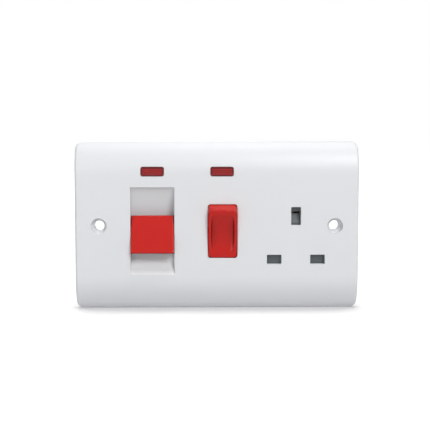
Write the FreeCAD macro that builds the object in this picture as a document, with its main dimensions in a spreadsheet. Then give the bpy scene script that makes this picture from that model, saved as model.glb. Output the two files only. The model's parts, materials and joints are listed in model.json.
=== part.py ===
import FreeCAD, Part
import math
import os

import Sketcher

# A twin-plate cooker control unit: a 45 amp double pole rocker switch for the cooker in a
# scooped recess, a switched 13 amp socket outlet beside it, and a neon over each switch.
#
# X runs to the right as seen by the user, Z is up and the front faces -Y. The origin is the
# middle of the plate on the wall plane, so what lies behind Y = 0 is inside the wall box.
# Sizes are in millimetres and degrees. Depths are measured from the wall plane, heights and
# places across from the middle of the plate.
DRIVING_SIZES = [
    ("plate_width", 144.8, "front plate, side to side"),
    ("plate_height", 86.0, "front plate, top to bottom"),
    ("plate_depth", 9.5, "flat face in front of the wall"),
    ("edge_thickness", 3.0, "flat rim that the crown runs down to"),
    ("crown_run", 16.5, "part of the face that curves back, in from the edge"),
    ("corner_radius", 4.0, "plate corners, seen from the front"),
    ("edge_round", 1.4, "rounding of the side edges"),
    ("front_wall", 2.8, "thickness of the face"),
    ("side_wall", 2.6, "thickness of the rim walls"),
    ("fixing_inset", 12.1, "fixing screws, in from the plate's sides"),
    ("fixing_bore", 5.2, "clearance hole of a fixing screw"),
    ("fixing_mouth", 8.0, "mouth for the screw head"),
    ("mouth_depth", 2.2, "straight part of the mouth"),
    ("boss_wall", 1.5, "wall round a fixing screw's mouth"),
    ("rib_thickness", 1.6, "stiffening ribs behind the face"),
    ("rib_setback", 2.0, "ribs stop this far in front of the wall"),
    ("cooker_across", 33.0, "cooker switch, left of the middle"),
    ("cooker_pivot_height", -6.0, "pivot of the cooker rocker"),
    ("cooker_pivot_depth", 1.6, "pivot in front of the wall"),
    ("cooker_tilt", 16.0, "cooker rocker's lean either way"),
    ("scoop_gap", 0.2, "recess past the cap, each side"),
    ("scoop_top", 19.8, "upper edge of the recess"),
    ("scoop_bottom", -25.0, "lower edge of the recess"),
    ("scoop_step", 1.0, "straight wall at the upper edge"),
    ("scoop_radius", 38.0, "curve of the recess floor"),
    ("scoop_wall", 2.0, "thickness of the recess floor and sides"),
    ("cap_width", 22.0, "red cap, side to side"),
    ("cap_face", 9.0, "cap's face from the pivot"),
    ("cap_half_length", 9.6, "cap's face, from the pivot to its upper end"),
    ("cap_skirt", 1.2, "cap's lower end past its upper end"),
    ("cap_round", 0.5, "rounding of the cap's edges"),
    ("cap_seat", 4.0, "cap's rear from the pivot"),
    ("cap_undercut", 22.0, "lean of the cap's upper end face"),
    ("skirt_undercut", 36.0, "lean of the cap's lower end face"),
    ("drum_radius", 8.8, "rocker cradle's curved ends"),
    ("drum_rear", 2.5, "cradle's open rear behind the pivot"),
    ("drum_wall", 2.4, "wall of the cradle's ends and seat"),
    ("cheek_wall", 2.0, "wall of the cradle's cheeks"),
    ("spigot_width", 18.0, "cradle's spigot in the cap, across"),
    ("spigot_height", 9.0, "cradle's spigot in the cap, up"),
    ("spigot_depth", 3.0, "cradle's spigot in the cap, deep"),
    ("trunnion_radius", 2.0, "cooker rocker's trunnions"),
    ("trunnion_length", 2.2, "cooker rocker's trunnions"),
    ("pole_offset", 6.0, "each cooker pole from the switch's middle"),
    ("tube_wall", 1.3, "wall of a plunger tube"),
    ("tube_end", 5.5, "plunger tube's mouth behind the pivot"),
    ("tube_floor", 5.0, "plunger tube's floor in front of the pivot"),
    ("plunger_radius", 2.1, "cooker plunger"),
    ("plunger_tail", 2.6, "plunger's flat end behind the pivot"),
    ("plunger_reach", 8.5, "from the pivot to the see-saw's middle"),
    ("touch_gap", 0.05, "play where switch parts only just touch"),
    ("slide_gap", 0.1, "play of a part that slides or turns"),
    ("fit_gap", 0.2, "play round a part that is laid in"),
    ("swing_gap", 0.3, "play round a rocker in its opening"),
    ("plunger_spring_wire", 0.6, "wire of the plunger springs"),
    ("plunger_spring_radius", 1.6, "plunger spring, to the wire's middle"),
    ("seesaw_width", 6.0, "cooker see-saw contact"),
    ("seesaw_thickness", 1.4, "cooker see-saw contact"),
    ("seesaw_arm", 9.0, "cooker see-saw, pivot to tip"),
    ("seesaw_slope", 0.12, "bend of each arm, as rise over run"),
    ("seesaw_lean", 6.0, "cooker see-saw's lean either way"),
    ("knuckle_radius", 0.8, "round knuckle under a cooker see-saw"),
    ("contact_arm", 8.0, "pivot to the contact tips"),
    ("contact_radius", 1.8, "contact tips"),
    ("contact_height", 0.8, "moving contact tip"),
    ("saddle_height", 2.6, "saddle that carries a cooker see-saw"),
    ("strap_thickness", 1.5, "cooker contact straps"),
    ("cooker_flange_width", 42.0, "cooker switch base's flange"),
    ("cooker_base_top", 32.0, "cooker switch base"),
    ("cooker_base_bottom", -33.5, "cooker switch base"),
    ("flange_gap", 0.5, "flange behind the wall plane"),
    ("flange_thickness", 4.0, "flange of the cooker switch base"),
    ("cooker_chamber_gap", 0.6, "switch chamber past the cradle, each side"),
    ("cooker_housing_wall", 3.4, "sides of the switch chamber"),
    ("cooker_chamber_half", 11.5, "switch chamber, half its height"),
    ("housing_wall", 1.5, "outer walls of the housings"),
    ("barrier_thickness", 2.6, "wall between the two poles' terminals"),
    ("pocket_gap", 3.0, "wall between chamber and terminal pockets"),
    ("terminal_offset", 7.5, "each mains terminal from the switch's middle"),
    ("terminal_width", 11.0, "mains terminal block"),
    ("terminal_height", 12.0, "mains terminal block"),
    ("terminal_depth", 9.5, "mains terminal block"),
    ("cable_bore", 6.0, "cable hole of a mains terminal"),
    ("terminal_screw", 5.0, "thread of a mains terminal's screw"),
    ("terminal_screw_pitch", 6.5, "between a terminal's two screws"),
    ("terminal_screw_length", 7.0, "shank of a mains terminal's screw"),
    ("terminal_screw_head", 6.0, "head of a mains terminal's screw"),
    ("screw_head_height", 2.0, "heads of the screws"),
    ("slot_width", 1.0, "slots of the screw heads"),
    ("slot_depth", 1.1, "slots of the screw heads"),
    ("base_screw", 2.9, "self-tapping screws that hold the mouldings"),
    ("base_screw_head", 5.0, "their heads"),
    ("pillar_radius", 3.2, "pillars behind the face for those screws"),
    ("pillar_across", 17.6, "cooker pillars, from the switch's middle"),
    ("pillar_high", 12.0, "upper cooker pillars"),
    ("pillar_low", -24.0, "lower cooker pillars"),
    ("neon_width", 12.0, "neon window"),
    ("neon_height", 5.0, "neon window"),
    ("neon_round", 1.1, "corners of a neon window"),
    ("neon_inset", 15.2, "neons, down from the plate's upper edge"),
    ("neon_flange", 0.6, "lens flange round the window"),
    ("neon_flange_thickness", 1.2, "lens flange"),
    ("neon_recess", 0.15, "lens behind the plate's face"),
    ("resistor_rise", 2.4, "a lamp's resistor above its window"),
    ("holder_rise", 3.6, "a lamp's holder above the lens flange"),
    ("lamp_radius", 2.1, "neon lamp"),
    ("lamp_length", 11.0, "neon lamp"),
    ("socket_neon_across", 2.5, "socket's neon, right of the middle"),
    ("rocker_across", 2.8, "socket switch, right of the middle"),
    ("rocker_pivot_height", -2.6, "pivot of the socket rocker"),
    ("rocker_pivot_depth", 4.3, "pivot in front of the wall"),
    ("rocker_tilt", 9.8, "socket rocker's lean either way"),
    ("rocker_width", 14.6, "socket rocker"),
    ("rocker_radius", 14.4, "socket rocker's curved ends"),
    ("rocker_face", 7.45, "rim of the rocker's face from the pivot"),
    ("rocker_dish", 300.0, "hollow of the rocker's whole face"),
    ("thumb_radius", 27.0, "curve of the thumb hollow in it"),
    ("thumb_depth", 1.9, "thumb hollow behind the rim of the face"),
    ("thumb_height", 0.4, "middle of the thumb hollow above the pivot"),
    ("thumb_rim", 1.3, "face left beside the thumb hollow, each side"),
    ("thumb_corner", 1.8, "eased sides of the thumb hollow"),
    ("rocker_rear", 1.5, "rocker's open rear behind the pivot"),
    ("rocker_corner", 1.4, "corners of the socket rocker"),
    ("rocker_wall", 1.5, "walls of the socket rocker"),
    ("rocker_trunnion", 1.5, "socket rocker's trunnions"),
    ("rocker_trunnion_length", 1.8, "socket rocker's trunnions"),
    ("rocker_tube_end", 7.5, "rocker's tube, mouth behind the pivot"),
    ("rocker_tube_floor", 4.4, "rocker's tube, floor in front of the pivot"),
    ("small_plunger_radius", 1.7, "socket switch's plunger"),
    ("small_plunger_tail", 3.4, "plunger's flat end behind the pivot"),
    ("small_reach", 11.4, "from the pivot to the see-saw's middle"),
    ("small_chamber_gap", 0.5, "socket switch's chamber past the rocker's swing"),
    ("small_spring_wire", 0.5, "wire of its spring"),
    ("small_spring_radius", 1.2, "its spring, to the wire's middle"),
    ("small_seesaw_width", 5.0, "socket see-saw contact"),
    ("small_seesaw_thickness", 1.0, "socket see-saw contact"),
    ("small_seesaw_slope", 0.1, "bend of each arm, as rise over run"),
    ("small_seesaw_lean", 5.0, "socket see-saw's lean either way"),
    ("small_knuckle_radius", 0.5, "round knuckle under it"),
    ("small_saddle_height", 1.1, "saddle that carries it"),
    ("small_strap_thickness", 1.2, "socket contact straps and links"),
    ("small_strap_width", 4.0, "socket contact straps and links"),
    ("outlet_across", 40.3, "middle of the outlet, right of the middle"),
    ("earth_height", 5.0, "earth aperture"),
    ("pin_spacing", 22.2, "between the line pins, and from them to earth"),
    ("earth_width", 5.0, "earth aperture"),
    ("earth_length", 9.3, "earth aperture"),
    ("line_width", 7.5, "line apertures"),
    ("line_length", 4.8, "line apertures"),
    ("aperture_round", 0.4, "corners of the apertures"),
    ("earth_pin_length", 22.7, "earth pin of a plug"),
    ("line_pin_length", 17.7, "line pins of a plug"),
    ("line_pin_thickness", 4.0, "all pins of a plug, thin way"),
    ("clip_thickness", 0.8, "leaves of the pin contacts"),
    ("clip_width", 6.5, "leaves of the line contacts"),
    ("clip_grip", 3.4, "leaves at the narrowest, before the pin opens them"),
    ("earth_clip_inset", 2.0, "earth contact shorter than its aperture"),
    ("pin_inset", 1.0, "pin slimmer than its aperture"),
    ("shutter_thickness", 2.0, "shutter"),
    ("shutter_travel", 6.0, "shutter"),
    ("shutter_margin", 1.2, "shutter past an aperture"),
    ("shutter_wing", 10.5, "shutter's upper half past the earth aperture"),
    ("guide_height", 1.6, "seat of the shutter in front of the base"),
    ("shutter_spring_wire", 0.4, "wire of the shutter spring"),
    ("shutter_spring_room", 3.4, "length of the shutter spring when it is pressed down"),
    ("shutter_spring_radius", 1.3, "shutter spring, to the wire's middle"),
    ("socket_base_front", 2.7, "front of the socket base"),
    ("socket_base_rear", 14.5, "rear of the socket base"),
    ("socket_base_left", -8.0, "left side of the socket base"),
    ("socket_base_inset", 12.4, "right side of the base, in from the plate's wall"),
    ("waist_gap", 0.8, "base clear of the fixing screw's boss"),
    ("waist_height", -7.0, "where the right side steps in"),
    ("socket_base_top", 18.0, "top of the socket base"),
    ("post_gap", 7.4, "socket's side pillars past the rocker's side"),
    ("post_high", 6.0, "socket's upper side pillar"),
    ("post_low", -13.0, "socket's lower side pillar"),
    ("corner_post_inset", 8.0, "socket's corner pillar, in from the base's right side"),
    ("corner_post_rise", 3.6, "socket's corner pillar, up from the base's bottom"),
    ("cover_screw_inset", 2.7, "cover's upper screw, in from the base's corner"),
    ("cover_screw_low", -21.5, "cover's lower screw, beside the socket switch"),
    ("cover_screw_across", 4.3, "cover's last screw, left of the outlet"),
    ("cover_screw_rise", 6.0, "cover's last screw, up from the base's bottom"),
    ("socket_base_rise", 6.4, "bottom of the base, up from the plate's wall"),
    ("rear_cover_thickness", 2.0, "cover behind the socket base"),
    ("earth_block_width", 24.0, "earth terminal"),
    ("earth_block_height", 11.0, "earth terminal"),
    ("earth_block_depth", 8.3, "earth terminal"),
    ("earth_bore", 4.6, "cable holes of the earth terminal"),
    ("earth_screw", 4.0, "thread of the earth terminal's screws"),
]

# How far a cutting outline runs past the face that it opens, and how far a boss runs into
# the wall that carries it.
PAST = 1.0
ROOT = 0.4

# Sides of the plain shanks and heads that stand for screws, and of a spring's wire, and
# straight steps in each turn of a spring and in each eased corner.
SHANK_SIDES = 8
HEAD_SIDES = 16
WIRE_SIDES = 4
COIL_STEPS = 10
CORNER_STEPS = 3


class Size:
    """A size of the object: its value, and the formula that ties it to the driving sizes."""

    def __init__(self, value, formula):
        self.value = float(value)
        self.formula = formula

    def __add__(self, other):
        other = as_size(other)
        return Size(self.value + other.value, f"({self.formula} + {other.formula})")

    def __sub__(self, other):
        other = as_size(other)
        return Size(self.value - other.value, f"({self.formula} - {other.formula})")

    def __mul__(self, other):
        other = as_size(other)
        return Size(self.value * other.value, f"({self.formula} * {other.formula})")

    def __truediv__(self, other):
        other = as_size(other)
        return Size(self.value / other.value, f"({self.formula} / {other.formula})")

    def __radd__(self, other):
        return as_size(other) + self

    def __rsub__(self, other):
        return as_size(other) - self

    def __rmul__(self, other):
        return as_size(other) * self

    def __neg__(self):
        return Size(-self.value, f"(0 - {self.formula})")


def as_size(number):
    """A plain number as a size; a size stays as it is."""
    if isinstance(number, Size):
        return number
    return Size(number, f"({number:.8g})")


def root(size):
    """The square root of a size."""
    return Size(math.sqrt(size.value), f"sqrt({size.formula})")


def sine(angle):
    return Size(math.sin(math.radians(angle.value)), f"sin({angle.formula} * 1 deg)")


def cosine(angle):
    return Size(math.cos(math.radians(angle.value)), f"cos({angle.formula} * 1 deg)")


class SizeSheet:
    """The spreadsheet of driving sizes, each one also an attribute of that name."""

    def __init__(self, rows):
        sheet = doc.addObject("Spreadsheet::Sheet", "Sizes")
        for row, (name, value, note) in enumerate(rows, start=1):
            sheet.set(f"A{row}", name)
            sheet.set(f"B{row}", str(value))
            sheet.setAlias(f"B{row}", name)
            sheet.set(f"C{row}", note)
            setattr(self, name, Size(value, f"Sizes.{name}"))


doc = FreeCAD.newDocument("cooker_control_unit")
s = SizeSheet(DRIVING_SIZES)
doc.recompute()
pieces = []


def vector(x, y, z=0.0):
    return FreeCAD.Vector(as_size(x).value, as_size(y).value, as_size(z).value)


def bind(thing, path, size):
    """Tie a property of a document object to a size."""
    thing.setExpression(path, as_size(size).formula)


def put(thing, place, axis=(1, 0, 0), angle=0.0):
    """Place a document object, turned by a fixed or a driving angle about an axis."""
    turn = as_size(angle)
    thing.Placement = FreeCAD.Placement(
        vector(*place), FreeCAD.Rotation(FreeCAD.Vector(*axis), turn.value)
    )
    for letter, size in zip("xyz", place):
        bind(thing, f"Placement.Base.{letter}", size)
    if isinstance(angle, Size):
        bind(thing, "Placement.Rotation.Angle", angle)
    return thing


def name_piece(thing, label):
    """Give a finished sub-part its name, which is also its file's name."""
    thing.Label = label
    pieces.append(thing)
    return thing


# Outlines. Each is a list of corners (across, up) in the plane that it is drawn on. A corner
# with a third value is where an arc of that radius starts, which turns left as the outline
# is followed, or right where the radius is marked as such by a fourth value of -1.


def rectangle(left, right, low, high):
    return [(left, low), (right, low), (right, high), (left, high)]


def rounded_rectangle(left, right, low, high, radius):
    return [
        (left + radius, low),
        (right - radius, low, radius),
        (right, low + radius),
        (right, high - radius, radius),
        (right - radius, high),
        (left + radius, high, radius),
        (left, high - radius),
        (left, low + radius, radius),
    ]


def circle(across, up, radius):
    return ("circle", across, up, radius)


def eased_corner(across, up, radius, first, last):
    """Points on a round corner about a centre, from one angle to another."""
    step = (last - first) / CORNER_STEPS
    angles = [math.radians(first + step * place) for place in range(CORNER_STEPS + 1)]
    return [(across + radius * math.cos(a), up + radius * math.sin(a)) for a in angles]


def notch(across, up, radius, end):
    """A slot with a round floor at one side, open at `end`, for a trunnion."""
    return [
        (end, up - radius),
        (end, up + radius),
        (across, up + radius, radius),
        (across - radius, up, radius),
        (across, up - radius),
    ]


def draw_circle(sketch, outline):
    _, across, up, radius = outline
    edge = sketch.addGeometry(
        Part.Circle(vector(across, up), vector(0, 0, 1), as_size(radius).value), False
    )
    tie_point(sketch, edge, 3, across, up)
    index = sketch.addConstraint(Sketcher.Constraint("Radius", edge, as_size(radius).value))
    bind(sketch, f"Constraints[{index}]", radius)


def tie_point(sketch, edge, end, across, up):
    """Fix a point of a sketch at driving distances from the sketch's origin."""
    for kind, size in (("DistanceX", across), ("DistanceY", up)):
        index = sketch.addConstraint(
            Sketcher.Constraint(kind, -1, 1, edge, end, as_size(size).value)
        )
        bind(sketch, f"Constraints[{index}]", size)


def arc_edge(begin, finish, radius, hand):
    """An arc between two points, turning left for hand 1 and right for hand -1."""
    middle = (begin + finish) * 0.5
    chord = finish - begin
    height = math.sqrt(max(radius**2 - (chord.Length / 2) ** 2, 0.0))
    left = FreeCAD.Vector(-chord.y, chord.x, 0).normalize()
    centre = middle + left * (hand * height)
    angles = [math.atan2(p.y - centre.y, p.x - centre.x) for p in (begin, finish)]
    if hand < 0:
        angles.reverse()
    if angles[1] < angles[0]:
        angles[1] += 2 * math.pi
    return Part.ArcOfCircle(Part.Circle(centre, vector(0, 0, 1), radius), *angles)


def draw_loop(sketch, outline):
    """Draw a closed run of lines and arcs and tie every corner."""
    ends = []
    for place, corner in enumerate(outline):
        begin = vector(corner[0], corner[1])
        following = outline[(place + 1) % len(outline)]
        finish = vector(following[0], following[1])
        if len(corner) == 2:
            edge = sketch.addGeometry(Part.LineSegment(begin, finish), False)
            ends.append((edge, 1, 2))
            continue
        hand = corner[3] if len(corner) == 4 else 1
        radius = as_size(corner[2])
        edge = sketch.addGeometry(arc_edge(begin, finish, radius.value, hand), False)
        index = sketch.addConstraint(Sketcher.Constraint("Radius", edge, radius.value))
        bind(sketch, f"Constraints[{index}]", radius)
        ends.append((edge, 1, 2) if hand > 0 else (edge, 2, 1))
    for place, (edge, _, last) in enumerate(ends):
        next_edge, first, _ = ends[(place + 1) % len(ends)]
        sketch.addConstraint(Sketcher.Constraint("Coincident", edge, last, next_edge, first))
    for (edge, first, _), corner in zip(ends, outline):
        tie_point(sketch, edge, first, corner[0], corner[1])


# The plane across each axis: its role in a body's origin, and which way its normal points.
PLANES = {"X": ("YZ_Plane", 1), "Y": ("XZ_Plane", -1), "Z": ("XY_Plane", 1)}


def sketch_on(body, role, offset, outlines):
    """A sketch on one of the body's origin planes, moved by an offset in that plane's frame."""
    sketch = body.newObject("Sketcher::SketchObject", "Outline")
    plane = next(feature for feature in body.Origin.OriginFeatures if feature.Role == role)
    sketch.AttachmentSupport = [(plane, "")]
    sketch.MapMode = "FlatFace"
    sketch.AttachmentOffset = FreeCAD.Placement(vector(*offset), FreeCAD.Rotation())
    for letter, size in zip("xyz", offset):
        if isinstance(size, Size):
            bind(sketch, f"AttachmentOffset.Base.{letter}", size)
    for outline in outlines:
        if outline[0] == "circle":
            draw_circle(sketch, outline)
        else:
            draw_loop(sketch, outline)
    return sketch


def extrude(kind, body, axis, low, high, outlines):
    role, sense = PLANES[axis]
    start = as_size(low) if sense > 0 else -as_size(high)
    sketch = sketch_on(body, role, (0, 0, start), outlines)
    feature = body.newObject(f"PartDesign::{kind}", kind)
    feature.Profile = sketch
    feature.Length = as_size(high).value - as_size(low).value
    bind(feature, "Length", as_size(high) - low)
    return feature


def pad(body, axis, low, high, *outlines):
    """Add the outlines, drawn across an axis, between two places on that axis."""
    return extrude("Pad", body, axis, low, high, outlines)


def pocket(body, axis, low, high, *outlines):
    """Cut the outlines, drawn across an axis, between two places on that axis."""
    feature = extrude("Pocket", body, axis, low, high, outlines)
    feature.Reversed = True
    return feature


def turn(kind, body, axis, centre, outlines):
    """Turn outlines, drawn level through a centre, about the X or Y line through it."""
    sketch = sketch_on(body, "XY_Plane", centre, outlines)
    feature = body.newObject(f"PartDesign::{kind}", kind)
    feature.Profile = sketch
    feature.ReferenceAxis = (sketch, ["H_Axis" if axis == "X" else "V_Axis"])
    feature.Angle = 360
    return feature


def round_edges(body, radius, wanted):
    """Round those edges of the body so far that the test picks out."""
    doc.recompute()
    last = body.Tip
    names = [
        f"Edge{number}"
        for number, edge in enumerate(last.Shape.Edges, start=1)
        if wanted(edge)
    ]
    feature = body.newObject("PartDesign::Fillet", "Fillet")
    feature.Base = (last, names)
    bind(feature, "Radius", radius)
    return feature


def new_body(label, place=(0, 0, 0), lean=0.0):
    """A body with its own place, leaning about the line across the plate."""
    body = doc.addObject("PartDesign::Body", "Body")
    put(body, place, (1, 0, 0), lean)
    return name_piece(body, label)


def block(low, high):
    """A box between two opposite corners."""
    box = doc.addObject("Part::Box", "Block")
    put(box, low)
    for side, first, last in zip(("Length", "Width", "Height"), low, high):
        bind(box, side, as_size(last) - first)
    return box


# The turn that lays an upright rod along each axis.
LAY = {"X": ((0, 1, 0), 90), "Y": ((1, 0, 0), -90), "Z": ((0, 0, 1), 0)}


def rod(axis, start, radius, length):
    """A round bar from a point along an axis."""
    bar = doc.addObject("Part::Cylinder", "Rod")
    put(bar, start, *LAY[axis])
    bind(bar, "Radius", radius)
    bind(bar, "Height", length)
    return bar


def many_sided_rod(axis, start, radius, length, sides):
    """A plain bar of many sides, where a thread or a small fastener's edge would be."""
    bar = doc.addObject("Part::Prism", "Bar")
    bar.Polygon = sides
    put(bar, start, *LAY[axis])
    bind(bar, "Circumradius", radius)
    bind(bar, "Height", length)
    return bar


def fuse(*things):
    joined = doc.addObject("Part::MultiFuse", "Joined")
    joined.Shapes = list(things)
    joined.Refine = True
    return joined


def cut(base, *tools):
    result = doc.addObject("Part::Cut", "Cut")
    result.Base = base
    result.Tool = tools[0] if len(tools) == 1 else fuse(*tools)
    result.Refine = True
    return result


def spring(start, axis_turn, radius, wire, length, turns):
    """A compression spring in short straight steps, from a point along its own Z."""
    axis, angle = axis_turn
    steps = turns * COIL_STEPS
    rise = (length - wire) / steps
    corners = []
    for step in range(steps + 1):
        around = 360 * step / COIL_STEPS
        corners.append(
            f"vector({radius.formula} * cos({around} deg); "
            f"{radius.formula} * sin({around} deg); {rise.formula} * {step})"
        )
    path = doc.addObject("Part::Polygon", "Coil")
    path.setExpression("Nodes", f"list({'; '.join(corners)})")
    section = doc.addObject("Part::RegularPolygon", "Wire")
    section.Polygon = WIRE_SIDES
    bind(section, "Circumradius", wire / 2)
    put(section, (radius, 0, 0), (1, 0, 0), 90)
    coil = doc.addObject("Part::Sweep", "Spring")
    coil.Sections = [section]
    coil.Spine = (path, [f"Edge{number + 1}" for number in range(steps)])
    coil.Solid = True
    coil.Transition = "Right corner"
    put(coil, start, axis, angle)
    return coil


# Places that several pieces share.
face = -s.plate_depth
inner_face = face + s.front_wall
half_width = s.plate_width / 2
half_height = s.plate_height / 2
inner_half_width = half_width - s.side_wall
inner_half_height = half_height - s.side_wall
crown_depth = s.plate_depth - s.edge_thickness
crown_start = half_height - s.crown_run
crown_radius = (s.crown_run * s.crown_run + crown_depth * crown_depth) / (2 * crown_depth)
inner_crown_radius = crown_radius - s.front_wall

fixing_x = half_width - s.fixing_inset
fixing_boss_radius = s.fixing_mouth / 2 + s.boss_wall
neon_line = half_height - s.neon_inset

cooker_x = -s.cooker_across
cooker_chamber_across = s.cap_width / 2 + s.cooker_chamber_gap
cooker_housing_across = cooker_chamber_across + s.cooker_housing_wall
cooker_pivot = (cooker_x, -s.cooker_pivot_depth, s.cooker_pivot_height)
scoop_half = s.cap_width / 2 + s.scoop_gap
well_half = scoop_half + s.scoop_wall

rocker_pivot = (s.rocker_across, -s.rocker_pivot_depth, s.rocker_pivot_height)
rocker_opening = s.rocker_radius + s.swing_gap
rocker_half = s.rocker_width / 2
rocker_opening_half = rocker_half + s.swing_gap

socket_base_right = inner_half_width - s.socket_base_inset
socket_base_waist = fixing_x - fixing_boss_radius - s.waist_gap
socket_base_bottom = s.socket_base_rise - inner_half_height

line_z = s.earth_height - s.pin_spacing
live_x = s.outlet_across + s.pin_spacing / 2
neutral_x = s.outlet_across - s.pin_spacing / 2

flange_front = s.flange_gap
flange_rear = flange_front + s.flange_thickness
cooker_pillars = [
    (cooker_x + side * s.pillar_across, height)
    for side in (-1, 1)
    for height in (s.pillar_high, s.pillar_low)
]
post_x = s.rocker_across + rocker_half + s.post_gap
socket_pillars = [
    (post_x, s.post_high),
    (post_x, s.post_low),
    (socket_base_right - s.corner_post_inset, socket_base_bottom + s.corner_post_rise),
]
neon_places = [("cooker", cooker_x), ("socket", s.socket_neon_across)]


def crown_waste(side, setback):
    """What lies in front of the crowned face, above the flat for side 1, below for -1."""
    radius = crown_radius - setback
    far = half_height + PAST
    end = face + setback + radius - root(radius * radius - s.crown_run * s.crown_run)
    hand = -side
    corners = [
        (face - PAST, side * crown_start),
        (face + setback, side * crown_start, radius, hand),
        (end, side * half_height),
        (end, side * far),
        (face - PAST, side * far),
    ]
    return corners


def front_plate():
    plate = new_body("front_plate")
    pad(
        plate, "Y", face, 0,
        rounded_rectangle(-half_width, half_width, -half_height, half_height, s.corner_radius),
    )
    inner_run = inner_half_height - crown_start
    inner_end = inner_face + inner_crown_radius - root(
        inner_crown_radius * inner_crown_radius - inner_run * inner_run
    )
    pocket(
        plate, "X", -inner_half_width, inner_half_width,
        [
            (PAST, -inner_half_height),
            (PAST, inner_half_height),
            (inner_end, inner_half_height, inner_crown_radius),
            (inner_face, crown_start),
            (inner_face, -crown_start, inner_crown_radius),
            (inner_end, -inner_half_height),
        ],
    )
    add_ribs(plate)
    add_pillars(plate)
    add_scoop(plate)
    add_rocker_cheeks(plate)
    pocket(
        plate, "X", -half_width - PAST, half_width + PAST,
        crown_waste(1, 0), crown_waste(-1, 0),
    )
    round_edges(plate, s.edge_round, is_side_edge)
    cut_fixing_holes(plate)
    cut_windows(plate)
    return plate


def is_side_edge(edge):
    """The front edges that run up the two sides of the plate."""
    box = edge.BoundBox
    outermost = min(abs(box.XMin), abs(box.XMax)) > half_width.value - s.touch_gap.value
    in_front = box.YMax < -s.edge_thickness.value / 2
    return outermost and in_front and box.ZLength > s.corner_radius.value


def add_ribs(plate):
    """Ribs that tie each fixing boss to the rim, across and up."""
    rear = -s.rib_setback
    half = s.rib_thickness / 2
    for side in (-1, 1):
        across = sorted((side * fixing_x, side * inner_half_width), key=lambda size: size.value)
        pad(plate, "Z", -half, half, rectangle(*across, inner_face - ROOT, rear))
        pad(
            plate, "X", side * fixing_x - half, side * fixing_x + half,
            rectangle(inner_face - ROOT, rear, -inner_half_height - ROOT, inner_half_height + ROOT),
        )
        pad(plate, "Y", inner_face - ROOT, 0, circle(side * fixing_x, 0, fixing_boss_radius))


def add_pillars(plate):
    """Screw pillars for the cooker switch base and for the socket base, with pilot holes."""
    groups = ((cooker_pillars, flange_front), (socket_pillars, -s.socket_base_front))
    for places, rear in groups:
        pad(plate, "Y", inner_face - ROOT, rear, *[circle(x, z, s.pillar_radius) for x, z in places])
        pocket(
            plate, "Y", inner_face - ROOT, rear + PAST,
            *[circle(x, z, s.base_screw / 2 + s.touch_gap) for x, z in places],
        )


def scoop_centre():
    """Centre of the recess floor's curve, in depth and height."""
    rise = s.scoop_top - s.scoop_bottom
    chord = root(rise * rise + s.scoop_step * s.scoop_step)
    reach = root(s.scoop_radius * s.scoop_radius - chord * chord / 4)
    depth = face + s.scoop_step / 2 - reach * rise / chord
    height = (s.scoop_top + s.scoop_bottom) / 2 + reach * s.scoop_step / chord
    return depth, height


def add_scoop(plate):
    """The curved recess, its well behind the face, and the slot that the rocker fills."""
    depth, height = scoop_centre()
    outer = s.scoop_radius + s.scoop_wall
    seat = inner_face - ROOT
    half = root(outer * outer - (seat - depth) * (seat - depth))
    pad(
        plate, "X", cooker_x - well_half, cooker_x + well_half,
        [(seat, height - half, outer), (seat, height + half)],
    )
    pocket(
        plate, "X", cooker_x - scoop_half, cooker_x + scoop_half,
        [
            (face, s.scoop_bottom, s.scoop_radius),
            (face + s.scoop_step, s.scoop_top),
            (face - PAST, s.scoop_top),
            (face - PAST, s.scoop_bottom),
        ],
    )
    turn(
        "Groove", plate, "X", cooker_pivot,
        [rectangle(-scoop_half, scoop_half, -s.drum_radius - s.swing_gap, 0)],
    )
    pocket(
        plate, "X", cooker_x - well_half - PAST, cooker_x + well_half + PAST,
        notch(
            cooker_pivot[1], cooker_pivot[2], s.trunnion_radius + s.slide_gap,
            flange_front + s.slide_gap,
        ),
    )


def eased_profile(half, radius, corner):
    """Half the outline, about the line across, of a drum with eased corners."""
    across, down = half - corner, corner - radius
    left = eased_corner(-across, down, corner, 180, 270)
    right = eased_corner(across, down, corner, 270, 360)
    return [(-half, 0), *left, *right, (half, 0)]


def add_rocker_cheeks(plate):
    """The opening for the socket rocker and the two cheeks that hold its trunnions."""
    x, y, z = rocker_pivot
    radius = rocker_opening
    turn(
        "Groove", plate, "X", rocker_pivot,
        [eased_profile(rocker_opening_half, radius, s.rocker_corner)],
    )
    cheek_rear = -s.socket_base_front - s.touch_gap
    cheek_half = 3 * s.rocker_trunnion
    inner = rocker_opening_half + ROOT / 4
    outer = inner + s.rocker_trunnion_length
    for low, high in ((x - outer, x - inner), (x + inner, x + outer)):
        pad(
            plate, "X", low, high,
            rectangle(inner_face - ROOT, cheek_rear, z - cheek_half, z + cheek_half),
        )
        pocket(
            plate, "X", low - ROOT / 8, high + ROOT,
            notch(y, z, s.rocker_trunnion + s.slide_gap, cheek_rear + PAST),
        )


def cut_fixing_holes(plate):
    """A mouth for the head, a countersink and a clearance hole at each fixing screw."""
    bore = s.fixing_bore / 2
    mouth = s.fixing_mouth / 2
    sink = face + s.mouth_depth
    for side in (-1, 1):
        turn(
            "Groove", plate, "Y", (side * fixing_x, 0, 0),
            [[
                (0, face - PAST),
                (mouth, face - PAST),
                (mouth, sink),
                (bore, sink + mouth - bore),
                (bore, PAST),
                (0, PAST),
            ]],
        )


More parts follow.
